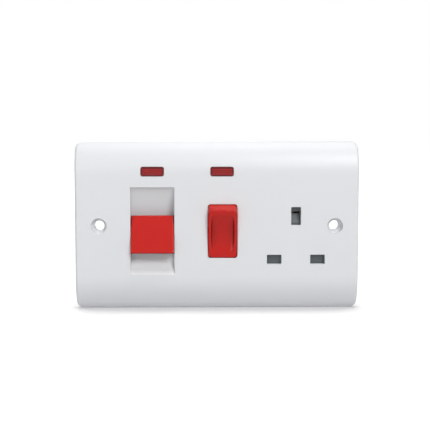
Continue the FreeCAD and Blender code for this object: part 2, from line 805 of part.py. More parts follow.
def cut_windows(plate):
    """Windows and lens seats for the neons, and the three pin apertures."""
    windows = []
    seats = []
    for _, x in neon_places:
        half_x = s.neon_width / 2
        half_z = s.neon_height / 2
        margin = s.neon_flange + s.fit_gap
        low, high = neon_line - half_z, neon_line + half_z
        windows.append(rounded_rectangle(x - half_x, x + half_x, low, high, s.neon_round))
        seats.append(rectangle(x - half_x - margin, x + half_x + margin, low - margin, high + margin))
    pocket(plate, "Y", face - PAST, 0, *windows)
    pocket(plate, "Y", lens_seat, 0, *seats)
    apertures = [aperture(x, z, width, length) for x, z, width, length in pin_apertures]
    pocket(plate, "Y", face - PAST, inner_face + PAST, *apertures)


def aperture(x, z, width, length, extra=0.0):
    return rounded_rectangle(
        x - width / 2 - extra, x + width / 2 + extra,
        z - length / 2 - extra, z + length / 2 + extra,
        s.aperture_round,
    )


lens_seat = inner_face - s.swing_gap
pin_apertures = [
    (s.outlet_across, s.earth_height, s.earth_width, s.earth_length),
    (neutral_x, line_z, s.line_width, s.line_length),
    (live_x, line_z, s.line_width, s.line_length),
]

front_plate()


# Cooker rocker. Its pieces are drawn upright about the pivot and lean as one, bottom out,
# which is its OFF position. The spring-loaded plungers run in tubes behind the cap.
cooker_lean = -s.cooker_tilt


def cooker_rocker_cap():
    cap = new_body("cooker_rocker_cap", cooker_pivot, cooker_lean)
    half = s.cap_width / 2
    depth = s.cap_face - s.cap_seat
    upper_taper = depth * sine(s.cap_undercut) / cosine(s.cap_undercut)
    lower_taper = depth * sine(s.skirt_undercut) / cosine(s.skirt_undercut)
    low = -s.cap_half_length - s.cap_skirt
    pad(
        cap, "X", -half, half,
        [
            (-s.cap_face, low),
            (-s.cap_seat, low + lower_taper),
            (-s.cap_seat, s.cap_half_length - upper_taper),
            (-s.cap_face, s.cap_half_length),
        ],
    )
    round_edges(cap, s.cap_round, lambda edge: edge.BoundBox.YMax < 0.01 - s.cap_face.value)
    across = s.spigot_width / 2 + s.touch_gap
    up = s.spigot_height / 2 + s.touch_gap
    pocket(
        cap, "Y", -s.cap_seat - s.spigot_depth - s.touch_gap, -s.cap_seat + PAST,
        rectangle(-across, across, -up, up),
    )


def cooker_rocker_cradle():
    cradle = new_body("cooker_rocker_cradle", cooker_pivot, cooker_lean)
    radius = s.drum_radius
    half = s.cap_width / 2
    seat_z = root(radius * radius - s.cap_seat * s.cap_seat)
    rear_z = root(radius * radius - s.drum_rear * s.drum_rear)
    pad(
        cradle, "X", -half, half,
        [
            (-s.cap_seat, -seat_z, radius),
            (s.drum_rear, -rear_z),
            (s.drum_rear, rear_z, radius),
            (-s.cap_seat, seat_z),
        ],
    )
    inner = radius - s.drum_wall
    ceiling = s.cap_seat - s.drum_wall
    pocket(
        cradle, "X", s.cheek_wall - half, half - s.cheek_wall,
        [
            (-ceiling, -root(inner * inner - ceiling * ceiling), inner),
            (s.drum_rear, -root(inner * inner - s.drum_rear * s.drum_rear)),
            (s.drum_rear + PAST, -root(inner * inner - s.drum_rear * s.drum_rear)),
            (s.drum_rear + PAST, root(inner * inner - s.drum_rear * s.drum_rear)),
            (s.drum_rear, root(inner * inner - s.drum_rear * s.drum_rear), inner),
            (-ceiling, root(inner * inner - ceiling * ceiling)),
        ],
    )
    pad(
        cradle, "Y", -s.cap_seat - s.spigot_depth, -s.cap_seat,
        rectangle(-s.spigot_width / 2, s.spigot_width / 2, -s.spigot_height / 2, s.spigot_height / 2),
    )
    bore = s.plunger_radius + s.slide_gap
    tubes = [circle(side * s.pole_offset, 0, bore + s.tube_wall) for side in (-1, 1)]
    bores = [circle(side * s.pole_offset, 0, bore) for side in (-1, 1)]
    pad(cradle, "Y", -ceiling - ROOT, s.tube_end, *tubes)
    pocket(cradle, "Y", -s.tube_floor, s.tube_end + PAST, *bores)
    pad(cradle, "X", half - ROOT, half + s.trunnion_length, circle(0, 0, s.trunnion_radius))
    pad(cradle, "X", -half - s.trunnion_length, ROOT - half, circle(0, 0, s.trunnion_radius))


def plunger(label, pivot, lean, across, radius, tail, reach):
    """A round-nosed plunger behind a rocker's pivot."""
    piece = new_body(label, pivot, lean)
    nose = reach - s.touch_gap - radius
    turn(
        "Revolution", piece, "Y", (across, 0, 0),
        [[(0, tail), (radius, tail), *eased_corner(0, nose, radius, 0, 90)]],
    )


def plunger_spring(label, pivot, lean, across, sizes, floor, tail, turns):
    """The spring between a tube's floor and its plunger's tail, along the tube."""
    radius, wire = sizes
    length = floor + tail
    start_depth = floor - wire / 2
    x, y, z = pivot
    start = (
        x + across,
        y - start_depth * cosine(lean),
        z - start_depth * sine(lean),
    )
    coil = spring(start, ((1, 0, 0), lean - 90), radius, wire, length, turns)
    name_piece(coil, label)


cooker_rocker_cap()
cooker_rocker_cradle()
cooker_poles = [("neutral", -1), ("live", 1)]
for pole, side in cooker_poles:
    plunger(
        f"cooker_{pole}_plunger", cooker_pivot, cooker_lean,
        side * s.pole_offset, s.plunger_radius, s.plunger_tail, s.plunger_reach,
    )
    plunger_spring(
        f"cooker_{pole}_spring", cooker_pivot, cooker_lean, side * s.pole_offset,
        (s.plunger_spring_radius, s.plunger_spring_wire), s.tube_floor, s.plunger_tail, 5,
    )


# Contacts of the cooker switch. A see-saw of bent brass strip rocks on a knuckle in its
# saddle. One strap carries the saddle and the supply terminal below, the other the fixed
# contact tip and the load terminal above.
def seesaw_axis(pivot, reach, thickness, slope):
    """Where a see-saw turns: at the rear of its bend."""
    x, y, z = pivot
    return (x, y + reach + thickness * root(1 + slope * slope), z)


def seesaw(label, place, lean, width, thickness, slope, knuckle):
    piece = new_body(label, place, lean)
    half = width / 2
    depth = thickness * root(1 + slope * slope)
    tip = slope * s.seesaw_arm
    pad(
        piece, "X", -half, half,
        [
            (0, 0),
            (-tip, s.seesaw_arm),
            (-tip - depth, s.seesaw_arm),
            (-depth, 0),
            (-tip - depth, -s.seesaw_arm),
            (-tip, -s.seesaw_arm),
        ],
    )
    pad(piece, "X", -half, half, circle(0, 0, knuckle))
    at = slope * s.contact_arm
    pad(
        piece, "Y", -at - ROOT, s.contact_height - at,
        circle(0, s.contact_arm, s.contact_radius),
    )


cooker_axis = seesaw_axis(
    cooker_pivot, s.plunger_reach, s.seesaw_thickness, s.seesaw_slope
)
saddle_front = cooker_axis[1] + s.touch_gap
strap_front = saddle_front + s.saddle_height
strap_rear = strap_front + s.strap_thickness
terminal_rear = strap_rear + s.terminal_depth
pocket_top_low = s.cooker_pivot_height + s.cooker_chamber_half + s.pocket_gap
pocket_bottom_high = s.cooker_pivot_height - s.cooker_chamber_half - s.pocket_gap
load_terminal_low = s.cooker_base_top - s.terminal_height - s.pocket_gap
supply_terminal_low = s.cooker_base_bottom + ROOT


def closed_tip_depth(axis, slope, lean, reach_back):
    """Depth of the rim of a see-saw's contact tip when it leans onto its fixed contact."""
    tip = s.contact_height - slope * s.contact_arm
    arm = s.contact_arm + s.contact_radius
    return axis[1] + tip * cosine(lean) + arm * sine(lean) + reach_back


def cooker_strap_outline(side, low, high, wide_low, wide_high):
    """A strap: narrow under its see-saw, and wide where its terminal clamps it."""
    narrow = s.seesaw_width / 2
    wide = s.terminal_width / 2 - ROOT
    pole_x = cooker_x + side * s.pole_offset
    terminal_x = cooker_x + side * s.terminal_offset
    stem = rectangle(pole_x - narrow, pole_x + narrow, low, high)
    foot = rectangle(terminal_x - wide, terminal_x + wide, wide_low, wide_high)
    return stem, foot


def cooker_fixed_contact(pole, side):
    strap = new_body(f"{pole}_fixed_contact")
    tip_z = s.cooker_pivot_height + s.contact_arm
    top = load_terminal_low + s.terminal_height - ROOT
    stem, foot = cooker_strap_outline(
        side, tip_z - s.contact_radius - ROOT, load_terminal_low, pocket_top_low + ROOT, top
    )
    pad(strap, "Y", strap_front, strap_rear, stem)
    pad(strap, "Y", strap_front, strap_rear, foot)
    tip_depth = closed_tip_depth(cooker_axis, s.seesaw_slope, s.seesaw_lean, s.touch_gap)
    pad(
        strap, "Y", tip_depth, strap_front + ROOT,
        circle(cooker_x + side * s.pole_offset, tip_z, s.contact_radius),
    )


def cooker_pivot_strap(pole, side):
    strap = new_body(f"{pole}_pivot_strap")
    pole_x = cooker_x + side * s.pole_offset
    saddle_half = 2 * s.knuckle_radius
    stem, foot = cooker_strap_outline(
        side, pocket_bottom_high - PAST - ROOT, s.cooker_pivot_height + saddle_half,
        supply_terminal_low + ROOT, pocket_bottom_high - ROOT,
    )
    pad(strap, "Y", strap_front, strap_rear, stem)
    pad(strap, "Y", strap_front, strap_rear, foot)
    half = s.seesaw_width / 2
    pad(
        strap, "X", pole_x - half, pole_x + half,
        rectangle(
            saddle_front, strap_front + ROOT,
            s.cooker_pivot_height - saddle_half, s.cooker_pivot_height + saddle_half,
        ),
    )
    pocket(
        strap, "X", pole_x - half - PAST, pole_x + half + PAST,
        circle(cooker_axis[1], s.cooker_pivot_height, s.knuckle_radius + s.touch_gap),
    )


def clamp_block(label, x, low, size, front, bore, screw, screw_places):
    """A brass terminal: a cable hole up through it, and threaded holes from the rear."""
    width, height, depth = size
    body = block((x - width / 2, front, low), (x + width / 2, front + depth, low + height))
    bore_y = front + depth - bore_to_rear(depth, bore)
    tools = []
    for bore_x in sorted({place[0].value: place[0] for place in screw_places}.items()):
        tools.append(rod("Z", (bore_x[1], bore_y, low - PAST), bore / 2, height + 2 * PAST))
    for screw_x, screw_z in screw_places:
        tools.append(
            many_sided_rod("Y", (screw_x, bore_y, screw_z), screw / 2, depth, SHANK_SIDES)
        )
    name_piece(cut(body, *tools), label)


def bore_to_rear(depth, bore):
    """A cable hole's middle from the rear of its block, with more metal left for the thread."""
    return (depth - bore) * 2 / 3 + bore / 2


def screw(x, tip_y, z, radius, length, head_radius):
    """A slotted screw that points to the front, its tip at a given depth."""
    shank = many_sided_rod("Y", (x, tip_y, z), radius, length, SHANK_SIDES)
    head = many_sided_rod(
        "Y", (x, tip_y + length, z), head_radius, s.screw_head_height, HEAD_SIDES
    )
    end = tip_y + length + s.screw_head_height
    slot = block(
        (x - head_radius - PAST, end - s.slot_depth, z - s.slot_width / 2),
        (x + head_radius + PAST, end + PAST, z + s.slot_width / 2),
    )
    return cut(fuse(shank, head), slot)


def mains_terminals():
    """Four terminals with two clamp screws each. The screws are backed out."""
    size = (s.terminal_width, s.terminal_height, s.terminal_depth)
    clamp_screws = []
    for end, low in (("load", load_terminal_low), ("supply", supply_terminal_low)):
        middle = low + s.terminal_height / 2
        for pole, side in cooker_poles:
            x = cooker_x + side * s.terminal_offset
            places = [(x, middle + step * s.terminal_screw_pitch / 2) for step in (-1, 1)]
            clamp_block(
                f"{end}_{pole}_terminal", x, low, size, strap_rear,
                s.cable_bore, s.terminal_screw, places,
            )
            tip = terminal_rear - bore_to_rear(s.terminal_depth, s.cable_bore) + s.cable_bore / 2
            for screw_x, screw_z in places:
                clamp_screws.append(
                    screw(
                        screw_x, tip + s.touch_gap, screw_z,
                        s.terminal_screw / 2 - s.touch_gap,
                        s.terminal_screw_length, s.terminal_screw_head / 2,
                    )
                )
    name_piece(fuse(*clamp_screws), "mains_terminal_screws")


for pole, side in cooker_poles:
    x, y, z = cooker_axis
    seesaw(
        f"{pole}_moving_contact", (x + side * s.pole_offset, y, z), s.seesaw_lean,
        s.seesaw_width, s.seesaw_thickness, s.seesaw_slope, s.knuckle_radius,
    )
    cooker_fixed_contact(pole, side)
    cooker_pivot_strap(pole, side)
mains_terminals()


# Contacts of the socket switch and the outlet, and the links that feed them from the
# supply side of the cooker switch.
rocker_axis = seesaw_axis(
    rocker_pivot, s.small_reach, s.small_seesaw_thickness, s.small_seesaw_slope
)
small_saddle_front = rocker_axis[1] + s.touch_gap
link_front = small_saddle_front + s.small_saddle_height
link_rear = link_front + s.small_strap_thickness
neutral_link_rear = link_front - s.small_saddle_height
neutral_link_front = neutral_link_rear - s.small_strap_thickness
half_strap = s.small_strap_width / 2
socket_chamber_half = s.rocker_radius + s.swing_gap + s.small_chamber_gap
chamber_top = s.rocker_pivot_height + socket_chamber_half
chamber_bottom = s.rocker_pivot_height - socket_chamber_half
live_link_line = chamber_bottom - s.small_strap_width
neutral_link_line = s.cooker_base_bottom + s.terminal_height / 2
busbar_line = chamber_top + half_strap - s.housing_wall / 2
earth_strap_front = s.earth_pin_length + face + s.slide_gap
earth_strap_rear = earth_strap_front + s.small_strap_thickness


def pin_clip(body, axis, middle, root_depth, along, width):
    """Two sprung leaves that grip a pin, drawn across the given axis on a root plate."""
    mouth = -s.socket_base_front + s.housing_wall + s.fit_gap
    thickness = s.clip_thickness
    opening = s.line_pin_thickness / 2
    grip = s.clip_grip / 2
    throat = mouth + s.line_pin_thickness / 2
    for side in (-1, 1):
        corners = [
            (mouth, middle + side * (opening + thickness)),
            (throat, middle + side * grip),
            (root_depth, middle + side * opening),
            (root_depth, middle + side * (opening + thickness)),
            (throat, middle + side * (grip + thickness)),
            (mouth, middle + side * (opening + 2 * thickness)),
        ]
        if axis == "Z":
            corners = [(up, across) for across, up in corners]
        pad(body, axis, along - width / 2, along + width / 2, corners)


def socket_line_contact(label, x):
    contact = new_body(label)
    plate_half = s.line_pin_thickness / 2 + s.clip_thickness
    half = s.clip_width / 2
    pad(
        contact, "Y", link_front, link_rear,
        rectangle(x - half, x + half, line_z - plate_half, line_z + plate_half),
    )
    pin_clip(contact, "X", line_z, link_front + ROOT, x, s.clip_width)
    return contact


def socket_contacts():
    live = socket_line_contact("socket_live_contact", live_x)
    neutral = socket_line_contact("socket_neutral_contact", neutral_x)
    foot_low = neutral_link_line - half_strap
    foot_high = neutral_link_line + half_strap
    pad(
        neutral, "Y", link_front, link_rear,
        rectangle(neutral_x - half_strap, neutral_x + half_strap, foot_low, line_z),
    )
    pad(
        neutral, "Y", link_front, link_rear,
        rectangle(neutral_foot_x - half_strap, neutral_x, foot_low, foot_high),
    )
    earth = new_body("socket_earth_contact")
    length = s.earth_length - s.earth_clip_inset
    plate_half = s.line_pin_thickness / 2 + s.clip_thickness
    x = s.outlet_across
    pad(
        earth, "Z", s.earth_height - length / 2, s.earth_height + length / 2,
        rectangle(x - plate_half, x + plate_half, earth_strap_front - s.clip_thickness, earth_strap_front),
    )
    pin_clip(earth, "Z", x, earth_strap_front - s.clip_thickness + ROOT, s.earth_height, length)


neutral_foot_x = s.rocker_across + 5 * s.small_strap_width


def socket_switch_contacts():
    x, y, z = rocker_axis
    seesaw(
        "socket_moving_contact", rocker_axis, -s.small_seesaw_lean,
        s.small_seesaw_width, s.small_seesaw_thickness, s.small_seesaw_slope,
        s.small_knuckle_radius,
    )
    fixed = new_body("socket_fixed_contact")
    tip_z = z + s.contact_arm
    drop_x = live_x - s.small_strap_width / 2
    half = s.small_seesaw_width / 2
    rail_low, rail_high = busbar_line - half_strap, busbar_line + half_strap
    plate_top = line_z + s.line_pin_thickness / 2 + s.clip_thickness
    pad(
        fixed, "Y", link_front, link_rear,
        [
            (x - half, tip_z - s.contact_radius - ROOT),
            (x + half, tip_z - s.contact_radius - ROOT),
            (x + half, rail_low),
            (drop_x - half_strap, rail_low),
            (drop_x - half_strap, plate_top),
            (drop_x + half_strap, plate_top),
            (drop_x + half_strap, rail_high),
            (x - half, rail_high),
        ],
    )
    tip_depth = closed_tip_depth(rocker_axis, s.small_seesaw_slope, s.small_seesaw_lean, s.touch_gap)
    pad(fixed, "Y", tip_depth, link_front + ROOT, circle(x, tip_z, s.contact_radius))

    link = new_body("live_link")
    saddle_half = 3 * s.small_knuckle_radius
    low, high = live_link_line - half_strap, live_link_line + half_strap
    end_x = cooker_x + s.pole_offset - half_strap
    pad(
        link, "Y", link_front, link_rear,
        [
            (x + half, z + saddle_half),
            (x - half, z + saddle_half),
            (x - half, high),
            (end_x, high),
            (end_x, low),
            (x + half, low),
        ],
    )
    pad(
        link, "Y", link_rear - ROOT, strap_front,
        circle(cooker_x + s.pole_offset, live_link_line, half_strap - ROOT / 2),
    )
    pad(
        link, "X", x - half, x + half,
        rectangle(small_saddle_front, link_front + ROOT, z - saddle_half, z + saddle_half),
    )
    pocket(
        link, "X", x - half - PAST, x + half + PAST,
        circle(y, z, s.small_knuckle_radius + s.touch_gap),
    )


def neutral_link():
    link = new_body("neutral_link")
    near_x = cooker_x - s.pole_offset
    low, high = neutral_link_line - half_strap, neutral_link_line + half_strap
    pad(
        link, "Y", neutral_link_front, neutral_link_rear,
        rectangle(near_x - half_strap, neutral_foot_x + half_strap, low, high),
    )
    pad(
        link, "Y", neutral_link_rear - ROOT, strap_front,
        circle(near_x, neutral_link_line, half_strap - ROOT / 2),
    )
    pad(
        link, "Y", neutral_link_rear - ROOT, link_front,
        circle(neutral_foot_x, neutral_link_line, half_strap - ROOT / 2),
    )


def earth_parts():
    x = s.outlet_across
    half = s.earth_block_width / 2
    low = earth_shelf_low + ROOT
    high = low + s.earth_block_height
    strap = new_body("earth_strap")
    stem = half_strap
    pad(
        strap, "Y", earth_strap_front, earth_strap_rear,
        [
            (x - stem, s.earth_height - s.earth_length / 2),
            (x + stem, s.earth_height - s.earth_length / 2),
            (x + stem, low),
            (x + half, low),
            (x + half, high),
            (x - half, high),
            (x - half, low),
            (x - stem, low),
        ],
    )
    middle = (low + high) / 2
    screw_places = [(x + side * half / 2, middle) for side in (-1, 1)]
    holes = [circle(*place, s.earth_screw / 2 + s.fit_gap) for place in screw_places]
    pocket(strap, "Y", earth_strap_front - PAST, earth_strap_rear + PAST, *holes)
    front = earth_strap_front - s.earth_block_depth
    clamp_block(
        "earth_terminal", x, low, (s.earth_block_width, s.earth_block_height, s.earth_block_depth),
        front, s.earth_bore, s.earth_screw, screw_places,
    )
    tip = earth_strap_front - bore_to_rear(s.earth_block_depth, s.earth_bore) + s.earth_bore / 2
    screws = [
        screw(
            screw_x, tip + s.touch_gap, screw_z, s.earth_screw / 2 - s.touch_gap,
            s.terminal_screw_length, s.terminal_screw_head / 2,
        )
        for screw_x, screw_z in screw_places
    ]
    name_piece(fuse(*screws), "earth_terminal_screws")


earth_shelf_low = s.socket_base_top
socket_contacts()
socket_switch_contacts()
neutral_link()
earth_parts()


# Socket rocker, drawn upright about its pivot and leaning top out, which is its ON position.
def socket_rocker():
    rocker = new_body("socket_rocker", rocker_pivot, s.rocker_tilt)
    radius = s.rocker_radius
    turn(
        "Revolution", rocker, "X", (0, 0, 0),
        [eased_profile(rocker_half, radius, s.rocker_corner)],
    )
    chord = root(radius * radius - s.rocker_face * s.rocker_face)
    far = radius + PAST
    pocket(
        rocker, "X", -rocker_half - PAST, rocker_half + PAST,
        [
            (-s.rocker_face, -chord, s.rocker_dish),
            (-s.rocker_face, chord),
            (-s.rocker_face, far),
            (-far, far),
            (-far, -far),
            (-s.rocker_face, -far),
        ],
        rectangle(s.rocker_rear, far, -far, far),
    )
    turn(
        "Groove", rocker, "X",
        (0, s.thumb_depth - s.thumb_radius - s.rocker_face, s.thumb_height),
        [eased_profile(rocker_half - s.thumb_rim, s.thumb_radius, s.thumb_corner)],
    )
    inner = radius - s.rocker_wall
    half = rocker_half - s.rocker_wall
    ceiling = s.rocker_tube_floor
    rear_z = root(inner * inner - s.rocker_rear * s.rocker_rear)
    pocket(
        rocker, "X", -half, half,
        [
            (-ceiling, -root(inner * inner - ceiling * ceiling), inner),
            (s.rocker_rear, -rear_z),
            (s.rocker_rear + PAST, -rear_z),
            (s.rocker_rear + PAST, rear_z),
            (s.rocker_rear, rear_z, inner),
            (-ceiling, root(inner * inner - ceiling * ceiling)),
        ],
    )
    bore = s.small_plunger_radius + s.slide_gap
    pad(rocker, "Y", -ceiling - ROOT, s.rocker_tube_end, circle(0, 0, bore + s.tube_wall))
    pocket(rocker, "Y", -ceiling, s.rocker_tube_end + PAST, circle(0, 0, bore))
    end = rocker_half + s.rocker_trunnion_length
    pad(rocker, "X", rocker_half - ROOT, end, circle(0, 0, s.rocker_trunnion))
    pad(rocker, "X", -end, ROOT - rocker_half, circle(0, 0, s.rocker_trunnion))


socket_rocker()
plunger(
    "socket_plunger", rocker_pivot, s.rocker_tilt, 0,
    s.small_plunger_radius, s.small_plunger_tail, s.small_reach,
)
plunger_spring(
    "socket_spring", rocker_pivot, s.rocker_tilt, 0,
    (s.small_spring_radius, s.small_spring_wire), s.rocker_tube_floor, s.small_plunger_tail, 6,
)


# The moulding behind the cooker switch: an open-fronted chamber with a wall between its two
# poles, and terminal pockets above and below that open to the rear.
def cooker_switch_base():
    base = new_body("cooker_switch_base")
    flange_half = s.cooker_flange_width / 2
    housing_half = cooker_housing_across
    low, high = s.cooker_base_bottom, s.cooker_base_top
    z = s.cooker_pivot_height
    rear = terminal_rear + s.slide_gap
    pad(
        base, "Y", flange_front, flange_rear,
        rounded_rectangle(cooker_x - flange_half, cooker_x + flange_half, low, high, s.housing_wall),
    )
    pad(
        base, "Y", flange_rear, rear,
        rectangle(cooker_x - housing_half, cooker_x + housing_half, low, high),
    )
    chamber_half = cooker_chamber_across
    chamber_low, chamber_high = z - s.cooker_chamber_half, z + s.cooker_chamber_half
    pocket(
        base, "Y", flange_front - PAST, strap_rear,
        rectangle(cooker_x - chamber_half, cooker_x + chamber_half, chamber_low, chamber_high),
    )
    pocket(
        base, "Y", strap_rear + s.housing_wall, rear + PAST,
        rectangle(
            cooker_x - housing_half - PAST, cooker_x + housing_half + PAST,
            pocket_bottom_high, pocket_top_low,
        ),
    )
    barrier = s.barrier_thickness / 2
    pocket_half = housing_half - s.housing_wall
    pads = []
    hollows = []
    hollow_rear = neutral_link_rear + s.slide_gap
    for side in (-1, 1):
        across = sorted(
            (cooker_x + side * barrier, cooker_x + side * pocket_half), key=lambda size: size.value
        )
        pads.append(rectangle(*across, pocket_top_low, high + PAST))
        pads.append(rectangle(*across, low - PAST, pocket_bottom_high))
        hollows.append(rectangle(*across, pocket_top_low, high - s.housing_wall))
        hollows.append(rectangle(*across, low + s.housing_wall, pocket_bottom_high))
    pocket(base, "Y", strap_front, rear + PAST, *pads)
    pocket(base, "Y", flange_front - PAST, hollow_rear, *hollows)
    pole_wall = s.housing_wall / 2
    pad(
        base, "Y", flange_rear + ROOT, strap_rear + ROOT,
        rectangle(cooker_x - pole_wall, cooker_x + pole_wall, chamber_low - ROOT, chamber_high + ROOT),
    )
    cut_cooker_slots(base, chamber_low, chamber_high)
    holes = [circle(x, z, s.base_screw / 2 + s.slide_gap) for x, z in cooker_pillars]
    pocket(base, "Y", flange_front - PAST, flange_rear + PAST, *holes)


def cut_cooker_slots(base, chamber_low, chamber_high):
    """Ways for the straps out of the chamber, and for the links through the right side."""
    narrow = s.seesaw_width / 2 + s.fit_gap
    slots = []
    for _, side in cooker_poles:
        x = cooker_x + side * s.pole_offset
        slots.append(rectangle(x - narrow, x + narrow, chamber_high - PAST, pocket_top_low + PAST))
        slots.append(rectangle(x - narrow, x + narrow, pocket_bottom_high - PAST, chamber_low + PAST))
    pocket(base, "Y", strap_front, strap_rear, *slots)
    gap = s.fit_gap
    right = cooker_x + cooker_housing_across + PAST
    near_x = cooker_x - s.pole_offset
    live_x_end = cooker_x + s.pole_offset - half_strap
    pocket(
        base, "Y", link_front - gap, strap_front + gap,
        rectangle(
            live_x_end - gap, right, live_link_line - half_strap - gap, live_link_line + half_strap + gap
        ),
    )
    pocket(
        base, "Y", neutral_link_front - gap, neutral_link_rear + gap,
        rectangle(
            near_x - half_strap - gap, right,
            neutral_link_line - half_strap - gap, neutral_link_line + half_strap + gap,
        ),
    )
    pocket(
        base, "Y", neutral_link_front, strap_front + PAST,
        circle(near_x, neutral_link_line, half_strap + gap),
    )


# The moulding behind the outlet: a chamber for the socket switch, a pocket for each pin
# contact, channels for the straps, a seat for the shutter and a shelf for the earth terminal.
base_front = -s.socket_base_front
shutter_rear = base_front - s.guide_height - s.fit_gap
shutter_front = shutter_rear - s.shutter_thickness
shutter_top_half = s.earth_width / 2 + s.shutter_wing
shutter_low_half = s.pin_spacing / 2 + s.line_width / 2 + s.shutter_margin
shutter_bottom = line_z - s.line_length / 2 - s.shutter_margin
shutter_top = s.earth_height + s.earth_length / 2 + s.shutter_margin
shutter_shoulder = s.waist_height - s.swing_gap
spring_y = base_front - s.shutter_spring_radius - 2 * s.fit_gap
spring_foot = shutter_bottom - s.shutter_travel - s.shutter_spring_room
guide_low = line_z + s.shutter_margin
guide_high = guide_low + s.small_strap_width
guide_half = s.rib_thickness


def socket_base():
    base = new_body("socket_base")
    left, right, waist = s.socket_base_left, socket_base_right, socket_base_waist
    low, high = socket_base_bottom, s.socket_base_top
    pad(
        base, "Y", base_front, s.socket_base_rear,
        [
            (left, low),
            (right, low),
            (right, s.waist_height),
            (waist, s.waist_height),
            (waist, high),
            (left, high),
        ],
    )
    x = s.outlet_across
    top_half = shutter_top_half + ROOT
    low_half = shutter_low_half + ROOT
    pad(
        base, "Y", base_front - s.guide_height, base_front + ROOT,
        [
            (x - low_half, shutter_bottom - s.shutter_travel),
            (x + low_half, shutter_bottom - s.shutter_travel),
            (x + low_half, s.waist_height),
            (x + top_half, s.waist_height),
            (x + top_half, shutter_top),
            (x - top_half, shutter_top),
            (x - top_half, s.waist_height),
            (x - low_half, s.waist_height),
        ],
    )
    pad(
        base, "Y", shutter_front, base_front,
        rectangle(x - guide_half, x + guide_half, guide_low, guide_high),
    )
    pad(
        base, "Y", spring_y - s.shutter_spring_radius, base_front,
        rectangle(
            x - 2 * s.shutter_spring_radius, x + 2 * s.shutter_spring_radius,
            spring_foot - s.shutter_margin, spring_foot,
        ),
    )
    channel_half = s.shutter_spring_radius + s.shutter_spring_wire
    pocket(
        base, "Y", base_front - s.guide_height - PAST, base_front,
        rectangle(
            x - channel_half, x + channel_half,
            shutter_bottom - s.shutter_travel - PAST,
            shutter_bottom + s.shutter_margin + s.fit_gap,
        ),
    )
    cut_switch_chamber(base)
    cut_contact_pockets(base)
    cut_strap_channels(base)
    cut_socket_screw_holes(base)
    add_shelves(base)


def cut_switch_chamber(base):
    x = s.rocker_across
    half = s.rocker_width / 2 + s.fit_gap
    pocket(
        base, "Y", base_front - PAST, link_rear,
        rectangle(x - half, x + half, chamber_bottom, chamber_top),
    )


def cut_contact_pockets(base):
    """Pin holes through the front wall, and a pocket behind each for its contact."""
    wall = base_front + s.housing_wall
    pins = [
        (s.outlet_across, s.earth_height, s.line_pin_thickness, s.earth_length - s.pin_inset),
        (neutral_x, line_z, s.line_width - s.pin_inset, s.line_pin_thickness),
        (live_x, line_z, s.line_width - s.pin_inset, s.line_pin_thickness),
    ]
    holes = [aperture(px, pz, width, length, s.fit_gap) for px, pz, width, length in pins]
    pocket(base, "Y", base_front - s.guide_height - PAST, wall + PAST, *holes)
    leaf = s.line_pin_thickness / 2 + 2 * s.clip_thickness + s.fit_gap
    across = s.clip_width / 2 + s.fit_gap
    tall = (s.earth_length - s.earth_clip_inset) / 2 + s.fit_gap
    pockets = [
        rectangle(neutral_x - across, neutral_x + across, line_z - leaf, line_z + leaf),
        rectangle(live_x - across, live_x + across, line_z - leaf, line_z + leaf),
        rectangle(
            s.outlet_across - leaf, s.outlet_across + leaf,
            s.earth_height - tall, s.earth_height + tall,
        ),
    ]
    pocket(base, "Y", wall, s.socket_base_rear + PAST, *pockets)


def cut_strap_channels(base):
    """Channels from the rear that the straps and links lie in."""
    gap = s.fit_gap
    x = s.rocker_across
    rear = s.socket_base_rear + PAST
    half = half_strap + gap
    drop_x = live_x - s.small_strap_width / 2
    rail_low, rail_high = busbar_line - half, busbar_line + half
    link_low, link_high = live_link_line - half, live_link_line + half
    foot_low, foot_high = neutral_link_line - half, neutral_link_line + half
    switch_half = s.small_seesaw_width / 2 + gap
    left = s.socket_base_left - PAST
    pocket(
        base, "Y", link_front, rear,
        rectangle(x - switch_half, drop_x + half, rail_low, rail_high),
        rectangle(x - switch_half, x + switch_half, link_low, chamber_bottom + PAST),
        rectangle(neutral_foot_x - half, neutral_x + half, foot_low, foot_high),
    )
    pocket(
        base, "Y", link_front, rear,
        rectangle(drop_x - half, drop_x + half, line_z, rail_low + PAST),
        rectangle(left, x, link_low, link_high),
        rectangle(neutral_x - half, neutral_x + half, foot_high - PAST, line_z),
    )
    pocket(
        base, "Y", neutral_link_front, rear,
        rectangle(left, neutral_foot_x + half, foot_low, foot_high),
    )
    pocket(
        base, "Y", earth_strap_front, rear,
        rectangle(
            s.outlet_across - half, s.outlet_across + half,
            s.earth_height - s.earth_length / 2 - gap, s.socket_base_top + PAST,
        ),
    )


cover_screws = [
    (s.socket_base_left + s.cover_screw_inset, s.socket_base_top - s.cover_screw_inset),
    (post_x - s.pillar_radius, s.cover_screw_low),
    (s.outlet_across - s.cover_screw_across, socket_base_bottom + s.cover_screw_rise),
]
screw_seat = base_front + 2 * s.rear_cover_thickness


def cut_socket_screw_holes(base):
    """Sunk clearance holes for the screws into the plate, and pilot holes for the cover's."""
    clear = s.base_screw / 2 + s.slide_gap
    sunk = s.base_screw_head / 2 + s.fit_gap
    rear = s.socket_base_rear
    pocket(
        base, "Y", base_front - s.guide_height - PAST, rear + PAST,
        *[circle(x, z, clear) for x, z in socket_pillars],
    )
    pocket(base, "Y", screw_seat, rear + PAST, *[circle(x, z, sunk) for x, z in socket_pillars])
    pilot = s.base_screw / 2 + s.touch_gap
    pocket(
        base, "Y", rear - 3 * s.rear_cover_thickness, rear + PAST,
        *[circle(x, z, pilot) for x, z in cover_screws],
    )


